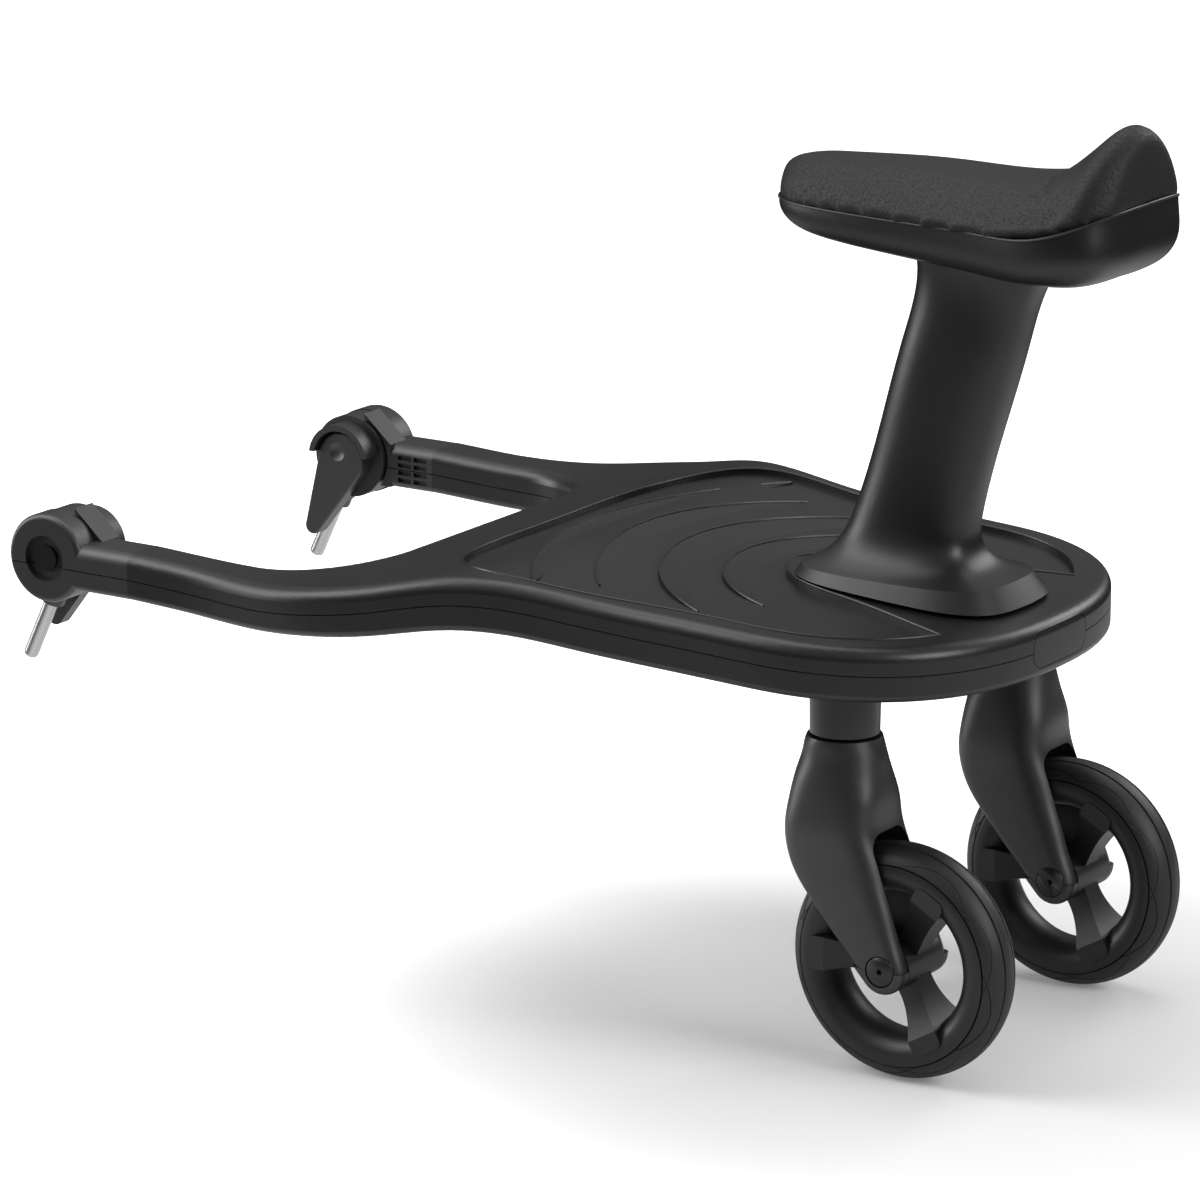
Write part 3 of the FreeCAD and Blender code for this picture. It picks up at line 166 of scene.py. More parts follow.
class StageSettings(bpy.types.PropertyGroup):
    camera_place: FloatVectorProperty(
        name="Camera", description="Place of the camera", subtype="TRANSLATION",
        default=(-1.60126, 2.4838, 0.9820))
    camera_turn: FloatProperty(
        name="Turn", description="Heading of the camera from the left side towards the front",
        subtype="ANGLE", default=math.radians(33.116))
    camera_dip: FloatProperty(
        name="Dip", description="How far the camera looks down", subtype="ANGLE",
        default=math.radians(14.907))
    lens: FloatProperty(
        name="Lens", description="Focal length on a 36 mm sensor", default=174.39)
    world_light: FloatProperty(
        name="World light", description="Level of the light from all round", default=0.3)
    sheen_low: FloatProperty(
        name="Low sheen", description="Level of the surroundings in reflections near the floor", default=0.03)
    sheen_high: FloatProperty(
        name="High sheen", description="Level of the surroundings in reflections overhead", default=0.38)
    floor_sheen: FloatProperty(
        name="Floor sheen", description="Level of the floor in reflections", default=0.55)
    # Low whiteness under the object paints shade round the wheels, on top of the floor's real shadow.
    floor_near: FloatProperty(
        name="Floor near", description="Whiteness that the floor adds under the object", default=0.14)
    floor_far: FloatProperty(
        name="Floor far", description="Whiteness that the floor adds far away", default=1.0)
    top_power: FloatProperty(
        name="Top box", description="Power of the soft box overhead", unit="POWER", default=17.0)
    left_power: FloatProperty(
        name="Left box", description="Power of the soft box at the front left", unit="POWER", default=24.0)
    front_power: FloatProperty(
        name="Front box", description="Power of the low soft box in front", unit="POWER", default=22.0)
    rear_power: FloatProperty(
        name="Rear box", description="Power of the soft box behind", unit="POWER", default=18.0)
    far_power: FloatProperty(
        name="Far box", description="Power of the soft box on the far side", unit="POWER", default=14.0)


# Small tools


def deselect_all():
    if bpy.context.object and bpy.context.object.mode != "OBJECT":
        bpy.ops.object.mode_set(mode="OBJECT")
    bpy.ops.object.select_all(action="DESELECT")


def activate(obj):
    deselect_all()
    obj.select_set(True)
    bpy.context.view_layer.objects.active = obj


def apply_modifier(obj, kind, **values):
    activate(obj)
    modifier = obj.modifiers.new(kind.title(), kind)
    for name, value in values.items():
        setattr(modifier, name, value)
    bpy.ops.object.modifier_apply(modifier=modifier.name)


def set_material(obj, material):
    obj.data.materials.clear()
    obj.data.materials.append(material)


def copy_node(node, name):
    """A merged copy of a CAD node, free of its body."""
    activate(NODES[node])
    bpy.ops.object.duplicate()
    obj = bpy.context.object
    bpy.ops.object.parent_clear(type="CLEAR_KEEP_TRANSFORM")
    bpy.ops.object.transform_apply(location=True, rotation=True, scale=True)
    obj.name = name
    obj.data.name = name
    bpy.ops.object.mode_set(mode="EDIT")
    bpy.ops.mesh.select_all(action="SELECT")
    bpy.ops.mesh.remove_doubles(threshold=NODE_MERGE)
    bpy.ops.object.mode_set(mode="OBJECT")
    return obj


def select_faces(obj, test):
    """Leave the mesh in edit mode with the faces selected that a test picks."""
    activate(obj)
    bpy.ops.object.mode_set(mode="EDIT")
    bpy.ops.mesh.select_mode(type="FACE")
    bpy.ops.mesh.select_all(action="DESELECT")
    bpy.ops.object.mode_set(mode="OBJECT")
    for face in obj.data.polygons:
        face.select = test(face)
    bpy.ops.object.mode_set(mode="EDIT")


def clean_mesh(obj):
    """Merge doubles and point the faces outwards."""
    activate(obj)
    bpy.ops.object.mode_set(mode="EDIT")
    bpy.ops.mesh.select_all(action="SELECT")
    bpy.ops.mesh.remove_doubles(threshold=PIECE_MERGE)
    bpy.ops.mesh.normals_make_consistent(inside=False)
    bpy.ops.object.mode_set(mode="OBJECT")


def carve(obj, cutter):
    """Cut one mesh out of another and remove the cutter."""
    apply_modifier(obj, "BOOLEAN", object=cutter, operation="DIFFERENCE", solver="EXACT", use_self=True)
    bpy.data.objects.remove(cutter)


def finish_piece(obj, material, body, slot, *nodes):
    """Give a piece its finish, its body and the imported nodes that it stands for."""
    activate(obj)
    bpy.ops.object.shade_smooth_by_angle(angle=SMOOTH_ANGLE)
    set_material(obj, material)
    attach(obj, body)
    if nodes:
        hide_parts(*nodes)


# Materials


class NodeTree:
    """Adds and links shader nodes with few words."""

    def __init__(self, tree):
        self.tree = tree

    def add(self, kind, inputs=None, **values):
        node = self.tree.nodes.new(kind)
        for name, value in values.items():
            setattr(node, name, value)
        for name, value in (inputs or {}).items():
            if isinstance(value, bpy.types.NodeSocket):
                self.tree.links.new(value, node.inputs[name])
            else:
                node.inputs[name].default_value = value
        return node

    def maths(self, operation, a, b):
        node = self.add("ShaderNodeMath", operation=operation)
        for socket, value in zip(node.inputs, (a, b)):
            if isinstance(value, bpy.types.NodeSocket):
                self.tree.links.new(value, socket)
            else:
                socket.default_value = value
        return node.outputs[0]


def group_sockets(group, inputs, outputs):
    for name, kind, value in inputs:
        socket = group.interface.new_socket(name=name, in_out="INPUT", socket_type=kind)
        socket.default_value = value
    for name, kind in outputs:
        group.interface.new_socket(name=name, in_out="OUTPUT", socket_type=kind)


def moulded_skin():
    """Eroded texture of moulded plastic, with a faint change of tone and gloss."""
    group = bpy.data.node_groups.new("moulded_skin", "ShaderNodeTree")
    group_sockets(group, [
        ("Colour", "NodeSocketColor", (0.02, 0.02, 0.02, 1)),
        ("Roughness", "NodeSocketFloat", 0.45),
        ("Grain scale", "NodeSocketFloat", 1800.0),
    ], [("Colour", "NodeSocketColor"), ("Roughness", "NodeSocketFloat"), ("Height", "NodeSocketFloat")])
    net = NodeTree(group)
    source = net.add("NodeGroupInput").outputs
    place = net.add("ShaderNodeTexCoord").outputs["Object"]
    cloud = net.add("ShaderNodeTexNoise", {"Vector": place, "Scale": 22.0, "Detail": 3.0}).outputs["Fac"]
    grain = net.add("ShaderNodeTexNoise", {
        "Vector": place, "Scale": source["Grain scale"], "Detail": 2.0, "Roughness": 0.6}).outputs["Fac"]
    tone = net.add("ShaderNodeMapRange", {"Value": cloud, "To Min": 0.88, "To Max": 1.12}).outputs[0]
    speck = net.add("ShaderNodeMapRange", {"Value": grain, "To Min": 0.9, "To Max": 1.1}).outputs[0]
    level = net.maths("MULTIPLY", tone, speck)
    colour = net.add("ShaderNodeVectorMath", {0: source["Colour"]}, operation="SCALE")
    group.links.new(level, colour.inputs["Scale"])
    sheen = net.add("ShaderNodeMapRange", {"Value": cloud, "To Min": -0.035, "To Max": 0.035}).outputs[0]
    rough = net.maths("ADD", source["Roughness"], sheen)
    net.add("NodeGroupOutput", {"Colour": colour.outputs[0], "Roughness": rough, "Height": grain})
    return group


def leather_grain():
    """Pebbled cover: cells with rounded tops and fine creases between them, with painted shade that darkens
    the colour in the creases and lightens it on the cell tops.
    """
    group = bpy.data.node_groups.new("leather_grain", "ShaderNodeTree")
    group_sockets(group, [
        ("Colour", "NodeSocketColor", (0.02, 0.02, 0.02, 1)),
        ("Cell scale", "NodeSocketFloat", LEATHER_CELLS),
    ], [("Colour", "NodeSocketColor"), ("Roughness", "NodeSocketFloat"), ("Height", "NodeSocketFloat")])
    net = NodeTree(group)
    source = net.add("NodeGroupInput").outputs
    place = net.add("ShaderNodeTexCoord").outputs["Object"]
    bend = net.add("ShaderNodeTexNoise", {"Vector": place, "Scale": 300.0, "Detail": 2.0}).outputs["Color"]
    shift = net.add("ShaderNodeVectorMath", {0: bend}, operation="SCALE")
    shift.inputs["Scale"].default_value = 0.0008
    bent = net.add("ShaderNodeVectorMath", {0: place, 1: shift.outputs[0]}, operation="ADD").outputs[0]
    cells = net.add("ShaderNodeTexVoronoi", {"Vector": bent, "Scale": source["Cell scale"]},
                    feature="SMOOTH_F1").outputs["Distance"]
    hill = net.maths("SUBTRACT", 1.0, cells)
    slope = {"Value": cells, "From Min": 0.2, "From Max": 0.7}
    # Painted shade: the colour darkens from the cell tops into the creases between them.
    crease_shade = net.add("ShaderNodeMapRange", {**slope, "To Min": 1.12, "To Max": 0.7}).outputs[0]
    colour = net.add("ShaderNodeVectorMath", {0: source["Colour"]}, operation="SCALE")
    group.links.new(crease_shade, colour.inputs["Scale"])
    rough = net.add("ShaderNodeMapRange", {**slope, "To Min": 0.5, "To Max": 0.68}).outputs[0]
    net.add("NodeGroupOutput", {"Colour": colour.outputs[0], "Roughness": rough, "Height": hill})
    return group


def surface_material(name, group, settings, relief, **shader_values):
    """A Principled material whose colour, gloss and relief come from a shared group."""
    material = bpy.data.materials.new(name)
    material.use_nodes = True
    tree = material.node_tree
    shader = next(n for n in tree.nodes if n.type == "BSDF_PRINCIPLED")
    skin = tree.nodes.new("ShaderNodeGroup")
    skin.node_tree = group
    for key, value in settings.items():
        skin.inputs[key].default_value = value
    bump = tree.nodes.new("ShaderNodeBump")
    bump.inputs["Strength"].default_value = 1.0
    bump.inputs["Distance"].default_value = relief
    tree.links.new(skin.outputs["Colour"], shader.inputs["Base Color"])
    tree.links.new(skin.outputs["Roughness"], shader.inputs["Roughness"])
    tree.links.new(skin.outputs["Height"], bump.inputs["Height"])
    tree.links.new(bump.outputs["Normal"], shader.inputs["Normal"])
    for key, value in shader_values.items():
        shader.inputs[key].default_value = value
    return material


def opaque(colour):
    return (*colour, 1.0)


finishes = {}


class BOARD_OT_finishes(bpy.types.Operator):
    """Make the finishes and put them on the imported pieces"""
    bl_idname = "board.finishes"
    bl_label = "Finishes"

    def execute(self, context):
        plastic = context.scene.board_plastic
        cushion = context.scene.board_cushion
        skin = moulded_skin()
        grain = 1.0 / plastic.grain
        deck = {"Colour": opaque(plastic.deck_colour), "Roughness": 0.36, "Grain scale": grain}
        seat = {"Colour": opaque(plastic.seat_colour), "Roughness": 0.4, "Grain scale": grain * 1.4}
        fitting = {"Colour": opaque(plastic.fitting_colour), "Roughness": 0.44, "Grain scale": grain * 1.2}
        rubber = {"Colour": (0.0085, 0.0085, 0.0086, 1), "Roughness": 0.5, "Grain scale": grain * 0.8}
        metal = {"Colour": (0.46, 0.46, 0.465, 1), "Roughness": 0.34, "Grain scale": grain * 0.7}
        steel = {"Colour": (0.42, 0.42, 0.43, 1), "Roughness": 0.35, "Grain scale": grain * 0.7}
        dark = {"Colour": (0.05, 0.05, 0.051, 1), "Roughness": 0.38, "Grain scale": grain * 0.7}
        black = {"Colour": (0.009, 0.009, 0.009, 1), "Roughness": 0.36, "Grain scale": grain}
        cover = {"Colour": opaque(cushion.colour), "Cell scale": LEATHER_CELLS}
        strong = {"Specular IOR Level": 0.75}
        faint = {"Specular IOR Level": 0.3}
        finishes.update({
            "deck_plastic": surface_material("deck_plastic", skin, deck, 0.02 * MM),
            "seat_plastic": surface_material("seat_plastic", skin, seat, 0.01 * MM),
            "adapter_plastic": surface_material("adapter_plastic", skin, fitting, 0.012 * MM, **strong),
            "fork_plastic": surface_material("fork_plastic", skin, fitting, 0.014 * MM, **strong),
            "wheel_plastic": surface_material("wheel_plastic", skin, fitting, 0.012 * MM),
            "inner_plastic": surface_material("inner_plastic", skin, fitting, 0.01 * MM),
            "tyre": surface_material("tyre_rubber", skin, rubber, 0.03 * MM),
            "pin_metal": surface_material("pin_metal", skin, metal, 0.005 * MM, Metallic=1.0),
            "steel": surface_material("plain_steel", skin, steel, 0.005 * MM, Metallic=1.0),
            "dark_steel": surface_material("dark_steel", skin, dark, 0.005 * MM, Metallic=1.0),
            "black_steel": surface_material("black_steel", skin, black, 0.008 * MM),
            "seat_cover": surface_material("seat_cover", leather_grain(), cover, 0.14 * MM, **faint),
        })
        for part in frame["record"]["subparts"]:
            set_material(NODES[part["node"]], finishes[part["material_slot"]])
        for side in SIDES:
            set_material(NODES[f"pivot_shaft_{side}"], finishes["dark_steel"])
        return {"FINISHED"}


def inflate(pad, settings):
    """Blow the pad up a little with cloth pressure, held where the pan's edge grips it."""
    scene = bpy.context.scene
    rest = [vertex.co.copy() for vertex in pad.data.vertices]
    pan = BVHTree.FromObject(NODES["seat_pan"], bpy.context.evaluated_depsgraph_get())
    grip = pad.vertex_groups.new(name="grip")
    for index, point in enumerate(rest):
        if pan.find_nearest(point)[3] < settings.held:
            grip.add([index], 1.0, "REPLACE")
    cloth = pad.modifiers.new("Inflate", "CLOTH")
    cloth.settings.use_pressure = True
    cloth.settings.uniform_pressure_force = settings.pressure
    cloth.settings.effector_weights.gravity = 0.0
    cloth.settings.vertex_group_mass = grip.name
    cloth.point_cache.frame_start = 1
    cloth.point_cache.frame_end = settings.frames
    for step in range(1, settings.frames + 1):
        scene.frame_set(step)
    activate(pad)
    bpy.ops.object.modifier_apply(modifier=cloth.name)
    for vertex, start in zip(pad.data.vertices, rest):
        move = vertex.co - start
        if move.length > settings.swell:
            vertex.co = start + move * (settings.swell / move.length)
    pad.vertex_groups.clear()
    scene.frame_set(1)


class BOARD_OT_cushion(bpy.types.Operator):
    """Inflate the saddle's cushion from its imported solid"""
    bl_idname = "board.cushion"
    bl_label = "Saddle cushion"

    def execute(self, context):
        settings = context.scene.board_cushion
        pad = copy_node("seat_cushion", "saddle_cushion")
        apply_modifier(pad, "REMESH", mode="VOXEL", voxel_size=settings.voxel)
        apply_modifier(pad, "SMOOTH", factor=0.5, iterations=2)
        apply_modifier(pad, "DISPLACE", strength=settings.fullness, mid_level=0.0)
        inflate(pad, settings)
        apply_modifier(pad, "SUBSURF", levels=1, render_levels=1)
        finish_piece(pad, finishes["seat_cover"], "seat", "seat_cover", "seat_cushion")
        bpy.ops.object.shade_smooth()
        return {"FINISHED"}


def edges_to_bead(radius):
    """Turn the selected edges of the mesh in edit mode into a round bead."""
    bpy.ops.mesh.select_all(action="INVERT")
    bpy.ops.mesh.delete(type="EDGE")
    bpy.ops.object.mode_set(mode="OBJECT")
    bpy.ops.object.convert(target="CURVE")
    bead = bpy.context.object
    bead.data.bevel_depth = radius
    bead.data.bevel_resolution = 2
    bead.data.use_fill_caps = True
    bpy.ops.object.convert(target="MESH")
    clean_mesh(bead)
    return bead


def select_brinks(obj, low):
    """Leave the mesh in edit mode with the edges selected where an upper face drops off steeply."""
    flat_rise = 0.9
    steep_rise = 0.35
    upper = {}
    steep = {}
    for face in obj.data.polygons:
        for key in face.edge_keys:
            if face.normal.z > flat_rise and face.center.z > low:
                upper[key] = face
            elif abs(face.normal.z) < steep_rise:
                steep[key] = face
    points = obj.data.vertices
    brinks = set()
    for key in upper.keys() & steep.keys():
        level = sum(points[index].co.z for index in key) / 2
        if steep[key].center.z < level:
            brinks.add(key)
    activate(obj)
    bpy.ops.object.mode_set(mode="EDIT")
    bpy.ops.mesh.select_mode(type="EDGE")
    bpy.ops.mesh.select_all(action="DESELECT")
    bpy.ops.object.mode_set(mode="OBJECT")
    for edge in obj.data.edges:
        edge.select = tuple(sorted(edge.vertices)) in brinks
    bpy.ops.object.mode_set(mode="EDIT")


class BOARD_OT_brinks(bpy.types.Operator):
    """Roll the brinks of the tread and of its crescents"""
    bl_idname = "board.brinks"
    bl_label = "Tread brinks"

    def execute(self, context):
        bead = copy_node("deck_upper", "tread_brinks")
        low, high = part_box("deck_upper")
        select_brinks(bead, (low.z + high.z) / 2)
        bead = edges_to_bead(context.scene.board_plastic.brink)
        finish_piece(bead, finishes["deck_plastic"], "board", "deck_plastic")
        bpy.ops.object.shade_smooth()
        return {"FINISHED"}


class BOARD_OT_welt(bpy.types.Operator):
    """Roll the pan's lip along the seam under the cushion"""
    bl_idname = "board.welt"
    bl_label = "Seam lip"

    def execute(self, context):
        settings = context.scene.board_cushion
        upward = 0.6
        lip = copy_node("seat_pan", "saddle_welt")
        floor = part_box("seat_cushion")[0].z - settings.held
        select_faces(lip, lambda face: face.normal.z > upward and face.center.z > floor)
        bpy.ops.mesh.region_to_loop()
        lip = edges_to_bead(settings.welt)
        finish_piece(lip, finishes["seat_plastic"], "seat", "seat_plastic")
        return {"FINISHED"}


def oval_half_width(settings, radius):
    """Half width of the tyre's oval section at a radius."""
    share = (radius - settings.middle) / settings.depth
    return settings.half_width * math.sqrt(1 - share * share)


def oval_radius(settings, aside):
    """Radius of the tyre's oval section at an offset from its middle plane."""
    share = aside / settings.half_width
    return settings.middle + settings.depth * math.sqrt(1 - share * share)


def tyre_profile(settings):
    """Closed section of the tyre as radius and offset, with two grooves along its crown."""
    bed = settings.bed
    shoulder = bed + settings.rim_gap
    groove = settings.groove_width / 2
    groove_room = groove * 1.6
    groove_foot = groove * 0.6
    lines = (settings.groove_place, -settings.groove_place)
    widest = oval_half_width(settings, shoulder)
    start = math.acos(widest / settings.half_width)
    crown_steps = 44
    outer = []
    for step in range(crown_steps + 1):
        angle = start + (math.pi - 2 * start) * step / crown_steps
        aside = settings.half_width * math.cos(angle)
        if all(abs(aside - line) > groove_room for line in lines):
            outer.append((oval_radius(settings, aside), aside))
    for line in lines:
        for offset, deep in ((groove, 0), (groove_foot, 1), (-groove_foot, 1), (-groove, 0)):
            aside = line + offset
            outer.append((oval_radius(settings, aside) - deep * settings.groove_depth, aside))
    outer.sort(key=lambda point: -point[1])
    edge = widest - settings.rim_gap
    return [(bed, -edge), (bed, edge)] + outer


class BOARD_OT_tyres(bpy.types.Operator):
    """Turn the tyres and engrave the bows on their sidewalls"""
    bl_idname = "board.tyres"
    bl_label = "Tyres"

    def execute(self, context):
        settings = context.scene.board_tyre
        low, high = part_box("tyre_left")
        centre = (low + high) / 2
        profile = tyre_profile(settings)
        deselect_all()
        bpy.ops.mesh.primitive_circle_add(vertices=len(profile), radius=settings.depth)
        tyre = context.object
        tyre.name = "tyre_tread_left"
        tyre.data.name = tyre.name
        for vertex, (radius, aside) in zip(tyre.data.vertices, profile):
            vertex.co = centre + Vector((radius, aside, 0))
        bpy.ops.object.mode_set(mode="EDIT")
        bpy.ops.mesh.select_all(action="SELECT")
        bpy.ops.mesh.spin(steps=settings.segments, angle=math.tau, center=centre, axis=(0, 1, 0))
        bpy.ops.object.mode_set(mode="OBJECT")
        clean_mesh(tyre)
        carve(tyre, self.bows(context, settings, centre))
        clean_mesh(tyre)
        activate(tyre)
        bpy.ops.object.duplicate()
        twin = context.object
        twin.name = "tyre_tread_right"
        twin.data.name = twin.name
        twin.location.y = (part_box("tyre_right")[0] - low).y
        bpy.ops.object.transform_apply(location=True, rotation=False, scale=False)
        for side, piece in zip(SIDES, (tyre, twin)):
            finish_piece(piece, finishes["tyre"], f"wheel_{side}", "tyre", f"tyre_{side}")
        return {"FINISHED"}

    def bows(self, context, settings, centre):
        """Thin tubes that lie half sunk in both sidewalls."""
        points = 29
        foot = settings.bed + settings.rim_gap / 2
        deselect_all()
        tubes = []
        for sign in (1, -1):
            for index in range(settings.bow_count):
                bpy.ops.curve.primitive_nurbs_path_add()
                tube = context.object
                path = tube.data.splines[0]
                path.type = "POLY"
                path.points.add(points - len(path.points))
                middle = math.tau * (index + (sign < 0) * 0.5) / settings.bow_count
                for step, point in enumerate(path.points):
                    share = step / (points - 1)
                    turn = middle + settings.bow_span * (share - 0.5)
                    radius = foot + settings.bow_rise * math.sin(math.pi * share)
                    place = Vector((radius * math.cos(turn), sign * oval_half_width(settings, radius),
                                    radius * math.sin(turn)))
                    point.co = (*(centre + place), 1.0)
                tube.data.bevel_depth = settings.bow_width / 2
                tube.data.bevel_resolution = 0
                tube.data.use_fill_caps = True
                tubes.append(tube)
        deselect_all()
        for tube in tubes:
            tube.select_set(True)
        context.view_layer.objects.active = tubes[0]
        bpy.ops.object.convert(target="MESH")
        bpy.ops.object.join()
        cutter = context.object
        clean_mesh(cutter)
        return cutter


class BOARD_OT_axle_heads(bpy.types.Operator):
    """Sink a six-lobed socket into every axle head"""
    bl_idname = "board.axle_heads"
    bl_label = "Axle heads"

    def execute(self, context):
        plastic = context.scene.board_plastic
        for side, sign in zip(SIDES, (1, -1)):
            for kind, outward in (("axle_bolt", sign), ("axle_nut", -sign)):
                node = f"{kind}_{side}"
                low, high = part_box(node)
                face = (low + high) / 2
                face.y = high.y if outward > 0 else low.y
                head = copy_node(node, f"{kind}_head_{side}")
                carve(head, self.lobes(context, face, plastic.socket))
                clean_mesh(head)
                finish_piece(head, finishes["black_steel"], f"caster_{side}", "black_steel", node)
        return {"FINISHED"}

    def lobes(self, context, face, radius):
        """A twelve-sided plug whose every second edge is drawn in."""
        depth = 2.4 * radius
        drawn_in = 0.66
        deselect_all()
        bpy.ops.mesh.primitive_cylinder_add(vertices=12, radius=radius, depth=depth, location=face,
                                            rotation=(math.pi / 2, 0, 0))
        plug = context.object
        bpy.ops.object.transform_apply(location=True, rotation=True, scale=True)
        for vertex in plug.data.vertices:
            arm = vertex.co - face
            turn = math.degrees(math.atan2(arm.z, arm.x)) % 60
            if 15 < turn < 45:
                vertex.co = Vector((face.x + arm.x * drawn_in, vertex.co.y, face.z + arm.z * drawn_in))
        clean_mesh(plug)
        return plug


def area_light(name, place, target, size, power):
    """A soft box that faces a target."""
    deselect_all()
    bpy.ops.object.light_add(type="AREA", location=place)
    lamp = bpy.context.object
    lamp.name = name
    lamp.data.shape = "RECTANGLE"
    lamp.data.size, lamp.data.size_y = size
    lamp.data.energy = power
    lamp.rotation_mode = "QUATERNION"
    lamp.rotation_quaternion = (Vector(target) - Vector(place)).to_track_quat("-Z", "Y")


def seen_directly(net, sheen):
    """1 for what the camera sees straight, less for what it sees mirrored, and 0 for light."""
    path = net.add("ShaderNodeLightPath").outputs
    mirrored = net.maths("ADD", path["Is Glossy Ray"], path["Is Transmission Ray"])
    seen = net.maths("ADD", path["Is Camera Ray"], net.maths("MULTIPLY", mirrored, sheen))
    return net.maths("MINIMUM", seen, 1.0)


def studio_floor_material(near, far, sheen):
    """Pale floor that keeps its real shadow and adds painted shade round the wheels, where its added glow is
    low, and runs out to plain white.
    """
    material = bpy.data.materials.new("studio_floor")
    material.use_nodes = True
    tree = material.node_tree
    tree.nodes.clear()
    net = NodeTree(tree)
    low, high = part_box("wheel_left")
    wheels = ((low.x + high.x) / 2, 0, 0)
    place = net.add("ShaderNodeTexCoord").outputs["Object"]
    arm = net.add("ShaderNodeVectorMath", {0: place, 1: wheels}, operation="SUBTRACT").outputs[0]
    distance = net.add("ShaderNodeVectorMath", {0: arm}, operation="LENGTH").outputs["Value"]
    # Painted shadow: the added glow is lowest round the wheels and rises to plain white further out.
    whiteness_with_painted_shade = net.add("ShaderNodeMapRange", {
        "Value": distance, "From Min": 0.2, "From Max": 0.55, "To Min": near, "To Max": far},
        interpolation_type="SMOOTHSTEP").outputs[0]
    fading = net.add("ShaderNodeMapRange", {
        "Value": distance, "From Min": 0.4, "From Max": 1.2, "To Min": sheen, "To Max": 0.0},
        interpolation_type="SMOOTHSTEP").outputs[0]
    seen = seen_directly(net, fading)
    path = net.add("ShaderNodeLightPath").outputs
    level = net.add("ShaderNodeMapRange", {
        "Value": path["Is Glossy Ray"], "To Min": 0.7, "To Max": fading}).outputs[0]
    colour = net.add("ShaderNodeCombineColor", {"Red": level, "Green": level, "Blue": level}).outputs[0]
    diffuse = net.add("ShaderNodeBsdfDiffuse", {"Color": colour}).outputs[0]
    glow = net.maths("MULTIPLY", seen, whiteness_with_painted_shade)
    emission = net.add("ShaderNodeEmission", {"Color": (1, 1, 1, 1), "Strength": glow}).outputs[0]
    both = net.add("ShaderNodeAddShader")
    tree.links.new(diffuse, both.inputs[0])
    tree.links.new(emission, both.inputs[1])
    net.add("ShaderNodeOutputMaterial", {"Surface": both.outputs[0]})
    return material


def studio_world(level, low, high):
    """White to the camera; as light and in reflections a dim room that brightens upwards."""
    world = bpy.data.worlds.new("studio")
    bpy.context.scene.world = world
    world.use_nodes = True
    tree = world.node_tree
    tree.nodes.clear()
    net = NodeTree(tree)
    way = net.add("ShaderNodeTexCoord").outputs["Generated"]
    height = net.add("ShaderNodeSeparateXYZ", {"Vector": way}).outputs["Z"]
    sheen = net.add("ShaderNodeMapRange", {
        "Value": height, "From Min": 0.1, "From Max": 0.55, "To Min": low, "To Max": high},
        interpolation_type="SMOOTHSTEP").outputs[0]
    path = net.add("ShaderNodeLightPath").outputs
    light = net.maths("MULTIPLY", path["Is Diffuse Ray"], level)
    strength = net.maths("ADD", seen_directly(net, sheen), light)
    background = net.add("ShaderNodeBackground", {"Color": (1, 1, 1, 1), "Strength": strength})
    net.add("ShaderNodeOutputWorld", {"Surface": background.outputs[0]})


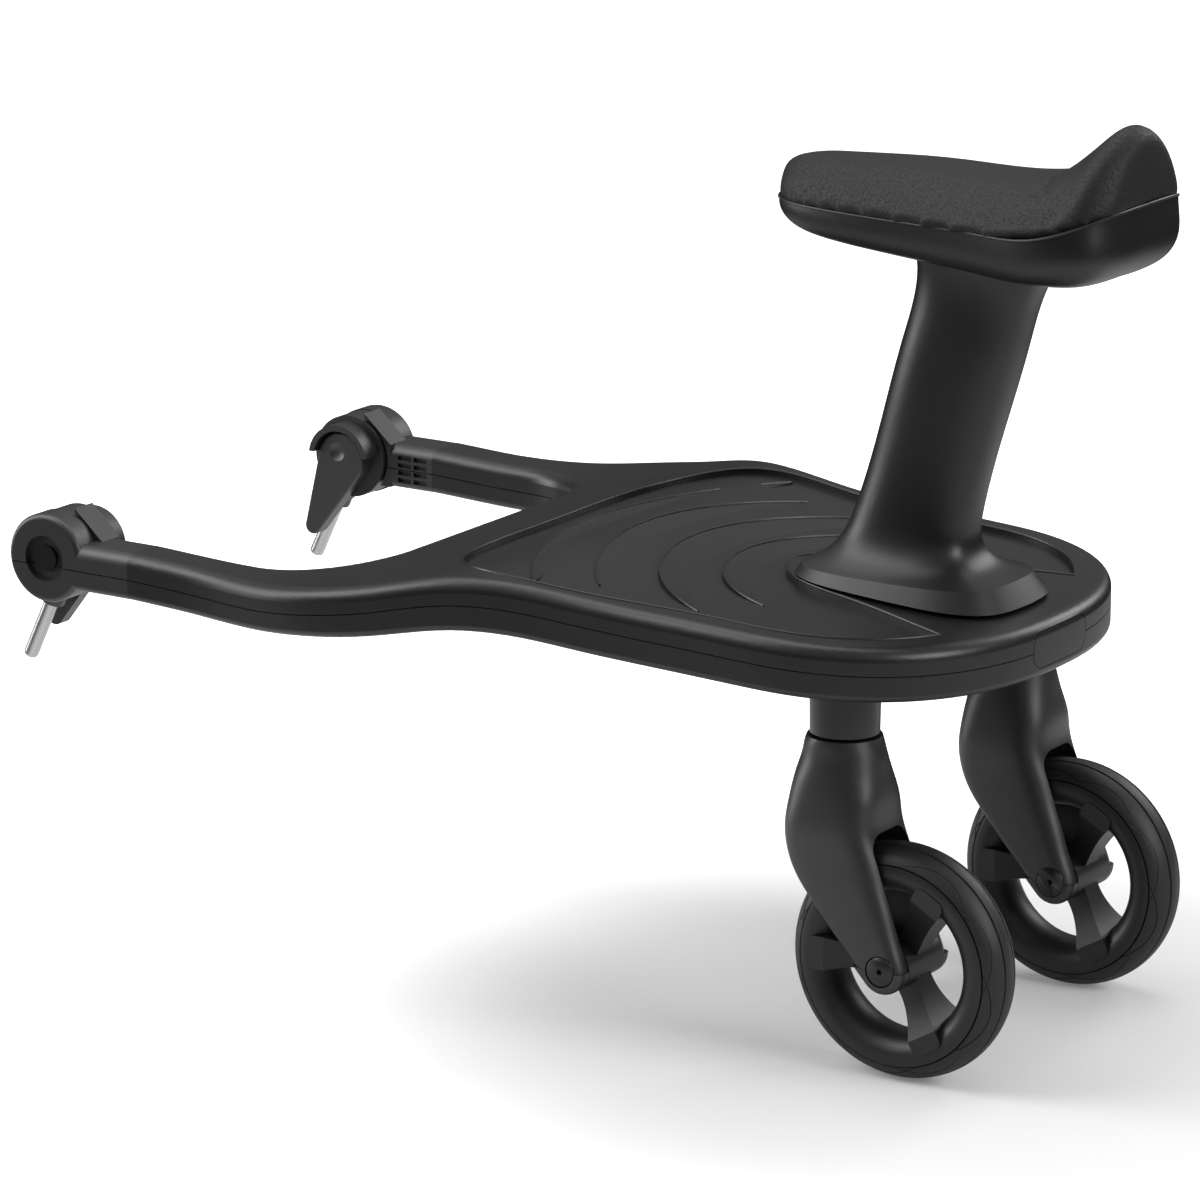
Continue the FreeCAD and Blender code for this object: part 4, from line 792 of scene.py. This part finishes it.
class BOARD_OT_stage(bpy.types.Operator):
    """Set up the camera, the floor and the studio light"""
    bl_idname = "board.stage"
    bl_label = "Stage"

    def execute(self, context):
        settings = context.scene.board_stage
        deselect_all()
        bpy.ops.object.camera_add(location=settings.camera_place)
        camera = context.object
        camera.name = "camera"
        camera.data.lens = settings.lens
        camera.data.sensor_width = 36.0
        camera.data.clip_start = 0.1
        camera.data.clip_end = 50.0
        dip = settings.camera_dip
        turn = settings.camera_turn
        look = Vector((math.cos(dip) * math.sin(turn), -math.cos(dip) * math.cos(turn), -math.sin(dip)))
        camera.rotation_mode = "QUATERNION"
        camera.rotation_quaternion = look.to_track_quat("-Z", "Y")
        context.scene.camera = camera
        context.scene.view_settings.view_transform = "Standard"

        deselect_all()
        bpy.ops.mesh.primitive_plane_add(size=16.0)
        floor = context.object
        floor.name = "studio_floor"
        floor.data.materials.append(studio_floor_material(
            settings.floor_near, settings.floor_far, settings.floor_sheen))

        studio_world(settings.world_light, settings.sheen_low, settings.sheen_high)
        area_light("top_box", (0.2, -0.3, 1.9), (0, 0, 0.2), (1.8, 1.4), settings.top_power)
        area_light("left_box", (1.3, 0.9, 1.7), (0, 0, 0.25), (1.3, 1.3), settings.left_power)
        area_light("front_box", (2.2, 0.8, 0.6), (0, 0, 0.3), (0.8, 1.2), settings.front_power)
        area_light("rear_box", (-1.9, 0.1, 1.1), (0, 0, 0.3), (0.9, 0.9), settings.rear_power)
        area_light("far_box", (-0.7, -1.9, 1.3), (0, 0, 0.3), (1.0, 1.0), settings.far_power)
        return {"FINISHED"}


OPERATORS = (
    BOARD_OT_finishes, BOARD_OT_brinks, BOARD_OT_cushion, BOARD_OT_welt, BOARD_OT_tyres, BOARD_OT_axle_heads,
    BOARD_OT_stage)


class BOARD_PT_sidebar(bpy.types.Panel):
    """Lists the steps that dress the board"""
    bl_idname = "BOARD_PT_sidebar"
    bl_label = "Buggy board"
    bl_space_type = "VIEW_3D"
    bl_region_type = "UI"
    bl_category = "Board"

    def draw(self, context):
        for step in OPERATORS:
            self.layout.operator(step.bl_idname)
        for key, group in SETTINGS.items():
            for name in group.__annotations__:
                self.layout.prop(getattr(context.scene, key), name)


SETTINGS = {
    "board_plastic": PlasticSettings,
    "board_cushion": CushionSettings,
    "board_tyre": TyreSettings,
    "board_stage": StageSettings,
}


def register():
    for group in SETTINGS.values():
        bpy.utils.register_class(group)
    for step in OPERATORS:
        bpy.utils.register_class(step)
    bpy.utils.register_class(BOARD_PT_sidebar)
    for name, group in SETTINGS.items():
        setattr(bpy.types.Scene, name, PointerProperty(type=group))


def unregister():
    for name in SETTINGS:
        delattr(bpy.types.Scene, name)
    bpy.utils.unregister_class(BOARD_PT_sidebar)
    for step in reversed(OPERATORS):
        bpy.utils.unregister_class(step)
    for group in reversed(SETTINGS.values()):
        bpy.utils.unregister_class(group)


def main():
    register()
    bpy.ops.board.finishes()
    bpy.ops.board.brinks()
    bpy.ops.board.cushion()
    bpy.ops.board.welt()
    bpy.ops.board.tyres()
    bpy.ops.board.axle_heads()
    bpy.ops.board.stage()


if __name__ == "__main__":
    main()
